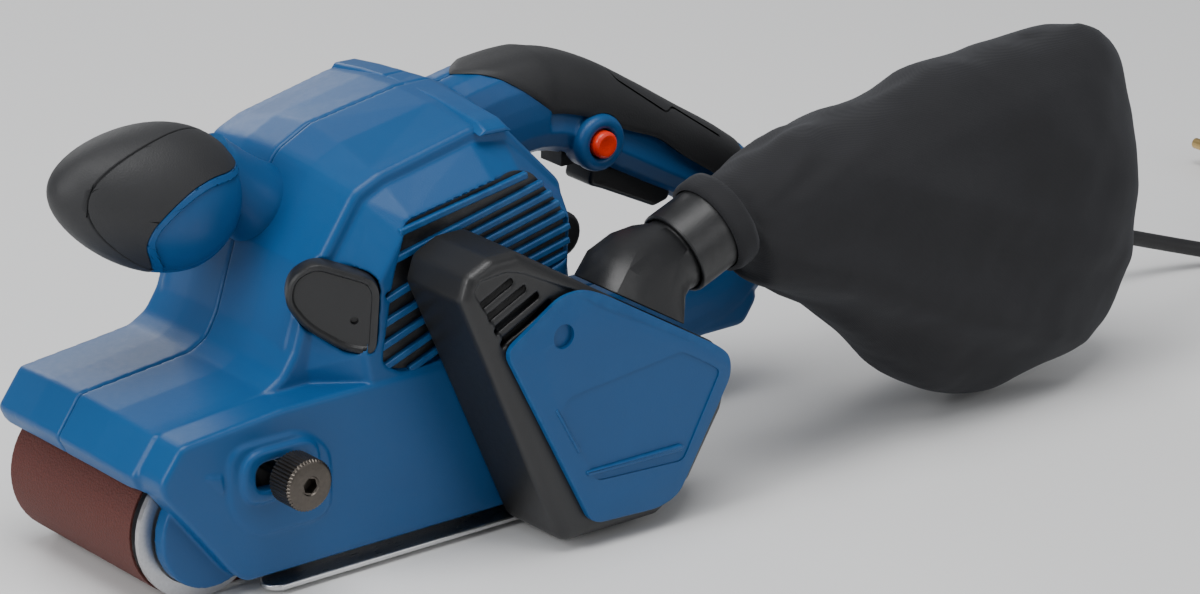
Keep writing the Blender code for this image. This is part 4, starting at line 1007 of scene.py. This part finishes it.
def tracking_knob():
    """Straight-knurled metal head with a hex socket."""
    knurl = (TRACK_ROOT_R, TRACK_TOP_R, TRACK_TOP_R)
    rim = (TRACK_RIM_R,) * 3
    loops = [knob_ring([r * 0.9 for r in knurl], 65.0), knob_ring(knurl, 65.9), knob_ring(knurl, 76.0),
             knob_ring(rim, 76.9), knob_ring([r * 0.93 for r in rim], 77.2)]
    obj = piece("tracking_knob_skin", loft(loops), "bronze", "tracking_knob", ("tracking_knob",), 28)
    corners = [pi * k / 3 + 0.3 for k in range(6)]
    hexagon = [(TRACK_X + 3.0 * cos(a), TRACK_Z + 3.0 * sin(a)) for a in corners]
    boolean(obj, "DIFFERENCE", [prism(hexagon, 73.4, 80.0),
                                lathe([(76.7, 3.3), (78.0, 4.2)], (TRACK_X, 0, TRACK_Z), (0, 1, 0), 40)])
    resharpen(obj, 28)


# ------------------------------------------------------------------ dust bag
OUTLET_AT = Vector((-118.0, 66.0, 90.5))
OUTLET_TILT = radians(21.7)
OUTLET_AXIS = Vector((-cos(OUTLET_TILT), 0.0, sin(OUTLET_TILT)))
OUTLET_UP = Vector((OUTLET_AXIS.z, 0, -OUTLET_AXIS.x))
BAG_NECK = ((0.0, 16.4), (3.0, 16.9), (8.0, 17.6), (14.0, 18.4))     # along the outlet, radius
BAG_STATIONS = [                       # x, middle height, half height, half thickness, middle y
    (-153, 99, 22.5, 20.5, 66), (-175, 96, 30.5, 25.5, 65), (-205, 87, 45, 29, 64), (-235, 77, 60, 32, 63),
    (-265, 73, 67, 33, 62), (-295, 75, 68, 32, 62), (-320, 78, 65, 27, 62), (-337, 76, 56, 19, 62),
    (-344, 74, 43, 8.5, 62)]
BAG_COUNT = 72
BAG_POWER = 2.4                        # how square the bag's section is
BAG_VOXEL = 0.0042
CLOTH_FRAMES = 16
CLOTH_CAP = 0.0045                     # furthest that the cloth run may move a point
FLOOR_CLEAR = 0.0006
HEM_PROFILE = [(17.6, 16.7), (18.0, 18.2), (20.0, 18.9), (24.5, 18.9), (26.6, 18.4), (27.0, 16.9)]
HEM_COUNT = 96


def outlet_ring(along, radii):
    """Ring about the dust outlet's axis."""
    turn = 2 * pi / len(radii)
    middle = OUTLET_AT + OUTLET_AXIS * along
    return [middle + OUTLET_UP * (r * cos(turn * k)) + Vector((0, r * sin(turn * k), 0))
            for k, r in enumerate(radii)]


def bag_section(x, z, tall, thick, y):
    """Rounded-square section of the bag."""
    ring = []
    for k in range(BAG_COUNT):
        a = 2 * pi * k / BAG_COUNT
        scale = (abs(cos(a)) ** BAG_POWER + abs(sin(a)) ** BAG_POWER) ** (-1 / BAG_POWER)
        ring.append(Vector((x, y + thick * sin(a) * scale, z + tall * cos(a) * scale)))
    return ring


def bag_shell():
    """Filled bag: smooth loft from the collar through its cross sections."""
    rings = [outlet_ring(19.4 + reach, [radius] * BAG_COUNT) for reach, radius in BAG_NECK]
    rings += [bag_section(*station) for station in BAG_STATIONS]
    fine = []
    for i in range(len(rings) - 1):
        near = (rings[max(i - 1, 0)], rings[i], rings[i + 1], rings[min(i + 2, len(rings) - 1)])
        steps = 2 if i < len(BAG_NECK) else 6
        fine += [[through(*four, k / steps) for four in zip(*near)] for k in range(steps)]
    fine.append(rings[-1])
    return loft(fine)


def crease(v):
    """Narrow ridges with broad hollows between them, from -0.5 to 1."""
    return 1.0 - 2.6 * min(0.58, abs(noise.noise(v, noise_basis="PERLIN_ORIGINAL")))


def wrinkles(p):
    """Creases that fan out from the collar, hang below the top seam and cross the panel, in millimetres."""
    along = (-150.0 - p.x) / 190.0
    spread = (p.z - 92.0) / (20.0 + 0.62 * (-150.0 - p.x))
    near = max(0.0, 1.0 - along * 1.15)
    side = 1.0 if p.y > 62 else -1.0
    fan = crease(Vector((along * 1.1, spread * 3.6, side))) * (0.6 + 2.3 * near)
    hang = crease(Vector((p.x * 0.026 + p.z * 0.010, p.z * 0.008, 4.0 + side)))
    hang *= 2.2 * max(0.0, spread + 0.25)
    cross = crease(Vector((p.x * 0.011 - p.z * 0.017, p.z * 0.009, 8.0 + side))) * 2.4
    small = noise.fractal(p * 0.035, 0.9, 2.1, 3, noise_basis="PERLIN_ORIGINAL") * 1.1
    return fan + hang + cross + small - 1.2


def dust_bag():
    """Cloth bag: settled shell, creases, one subdivision and the hem."""
    obj = piece("dust_bag_cloth", bag_shell(), "cloth", "dust_bag", ("dust_bag",), 80)
    cloth_settle(obj)
    bm = bmesh.new()
    bm.from_mesh(obj.data)
    bm.normal_update()
    for v in bm.verts:
        p = v.co / MM
        hold = min(1.0, max(0.0, (-146 - p.x) / 25.0))
        v.co += v.normal * (wrinkles(p) * hold * MM)
        v.co.z = max(v.co.z, FLOOR_CLEAR)
    bm.to_mesh(obj.data)
    bm.free()
    sub = obj.modifiers.new("smooth", "SUBSURF")
    sub.levels = sub.render_levels = 1
    obj.data.shade_smooth()
    bag_hem()


def cloth_settle(obj):
    """A short cloth run under pressure, with each point's travel capped."""
    remesh = obj.modifiers.new("even", "REMESH")
    remesh.mode = "VOXEL"
    remesh.voxel_size = BAG_VOXEL
    apply_modifiers(obj)
    rest = [v.co.copy() for v in obj.data.vertices]
    pins = obj.vertex_groups.new(name="collar")
    for v in obj.data.vertices:
        reach = (v.co / MM - OUTLET_AT).dot(OUTLET_AXIS)
        if reach < 34:
            pins.add([v.index], 1.0 if reach < 26 else (34 - reach) / 8, "REPLACE")
    mod = obj.modifiers.new("cloth", "CLOTH")
    mod.settings.quality = 5
    mod.settings.mass = 0.25
    mod.settings.tension_stiffness = mod.settings.compression_stiffness = 12
    mod.settings.shear_stiffness = 4
    mod.settings.bending_stiffness = 0.4
    mod.settings.use_pressure = True
    mod.settings.uniform_pressure_force = 2.2
    mod.settings.vertex_group_mass = "collar"
    mod.settings.effector_weights.gravity = 0.25
    mod.collision_settings.use_collision = False
    mod.collision_settings.use_self_collision = False
    scene = bpy.context.scene
    mod.point_cache.frame_start, mod.point_cache.frame_end = 1, CLOTH_FRAMES
    for step in range(1, CLOTH_FRAMES + 1):
        scene.frame_set(step)
    apply_modifiers(obj)
    scene.frame_set(1)
    for v, old in zip(obj.data.vertices, rest):
        move = v.co - old
        if move.length > CLOTH_CAP:
            v.co = old + move.normalized() * CLOTH_CAP
    smooth = obj.modifiers.new("relax", "SMOOTH")
    smooth.factor = 0.5
    smooth.iterations = 3
    apply_modifiers(obj)


def hem_radii(along, radius):
    """The hem's radius round the collar, slightly uneven where it is outside the collar."""
    turn = [2 * pi * k / HEM_COUNT for k in range(HEM_COUNT)]
    uneven = 0.35 if radius > 17 else 0.0
    return [radius + uneven * noise.noise(Vector((cos(a) * 3.4, sin(a) * 3.4, along * 0.2))) for a in turn]


def bag_hem():
    """Folded hem round the collar."""
    loops = [outlet_ring(along, hem_radii(along, r)) for along, r in HEM_PROFILE]
    piece("bag_hem", loft(loops, around=True), "cloth", "dust_bag", smooth=70)


# ------------------------------------------------------------------ the rest
INSIDE = {                             # material of each CAD node that stays in view
    "black": ("driven_pulley", "cooling_fan", "switch_module"),
    "brass": ("brush_holder_front", "brush_holder_rear"),
    "carbon": ("carbon_brush_front", "carbon_brush_rear"),
    "cast": ("sanding_frame", "drive_hub", "front_roller", "roller_yoke"),
    "copper": ("motor_armature", "commutator"),
    "cork": ("platen_pad",),
    "rubber": ("drive_roller", "toothed_belt"),
    "steel": ("front_knob_bolt", "roller_cheek", "platen_sheet", "drive_shaft", "drive_bearing_left",
              "drive_bearing_right", "front_bearing_left", "front_bearing_right", "front_axle", "yoke_stem",
              "tension_spring", "tracking_screw", "tension_lever", "lever_pin", "motor_stator",
              "motor_bearing_left", "motor_bearing_right", "drive_pinion")}


def main():
    make_camera()
    make_stage()
    make_materials()
    mains_cord()
    cord_guard()
    left_casing()
    soft_skin("housing_right", "blue", FAR_CASING_VOXEL)
    ridge_bar()
    front_knob()
    brush_cover()
    skin("brush_cap_rear", "black", 0.4)
    drive_cover()
    badge()
    for k, (x, z) in enumerate(COVER_SCREWS):
        cover_screw(k + 1, x, z)
    skin("dust_outlet", "black", 0.5, smooth=60)
    skin("bag_collar", "black", 0.7, "dust_bag", smooth=50)
    skin("base_strip", "bright", 0.5)
    handle_grip()
    lock_button()
    skin("trigger", "black", 0.8, "trigger", segments=3)
    tracking_knob()
    skin("sanding_belt", "grit", 0.12, smooth=30)
    dust_bag()
    for mat, nodes in INSIDE.items():
        for node in nodes:
            repaint(node, mat)


main()
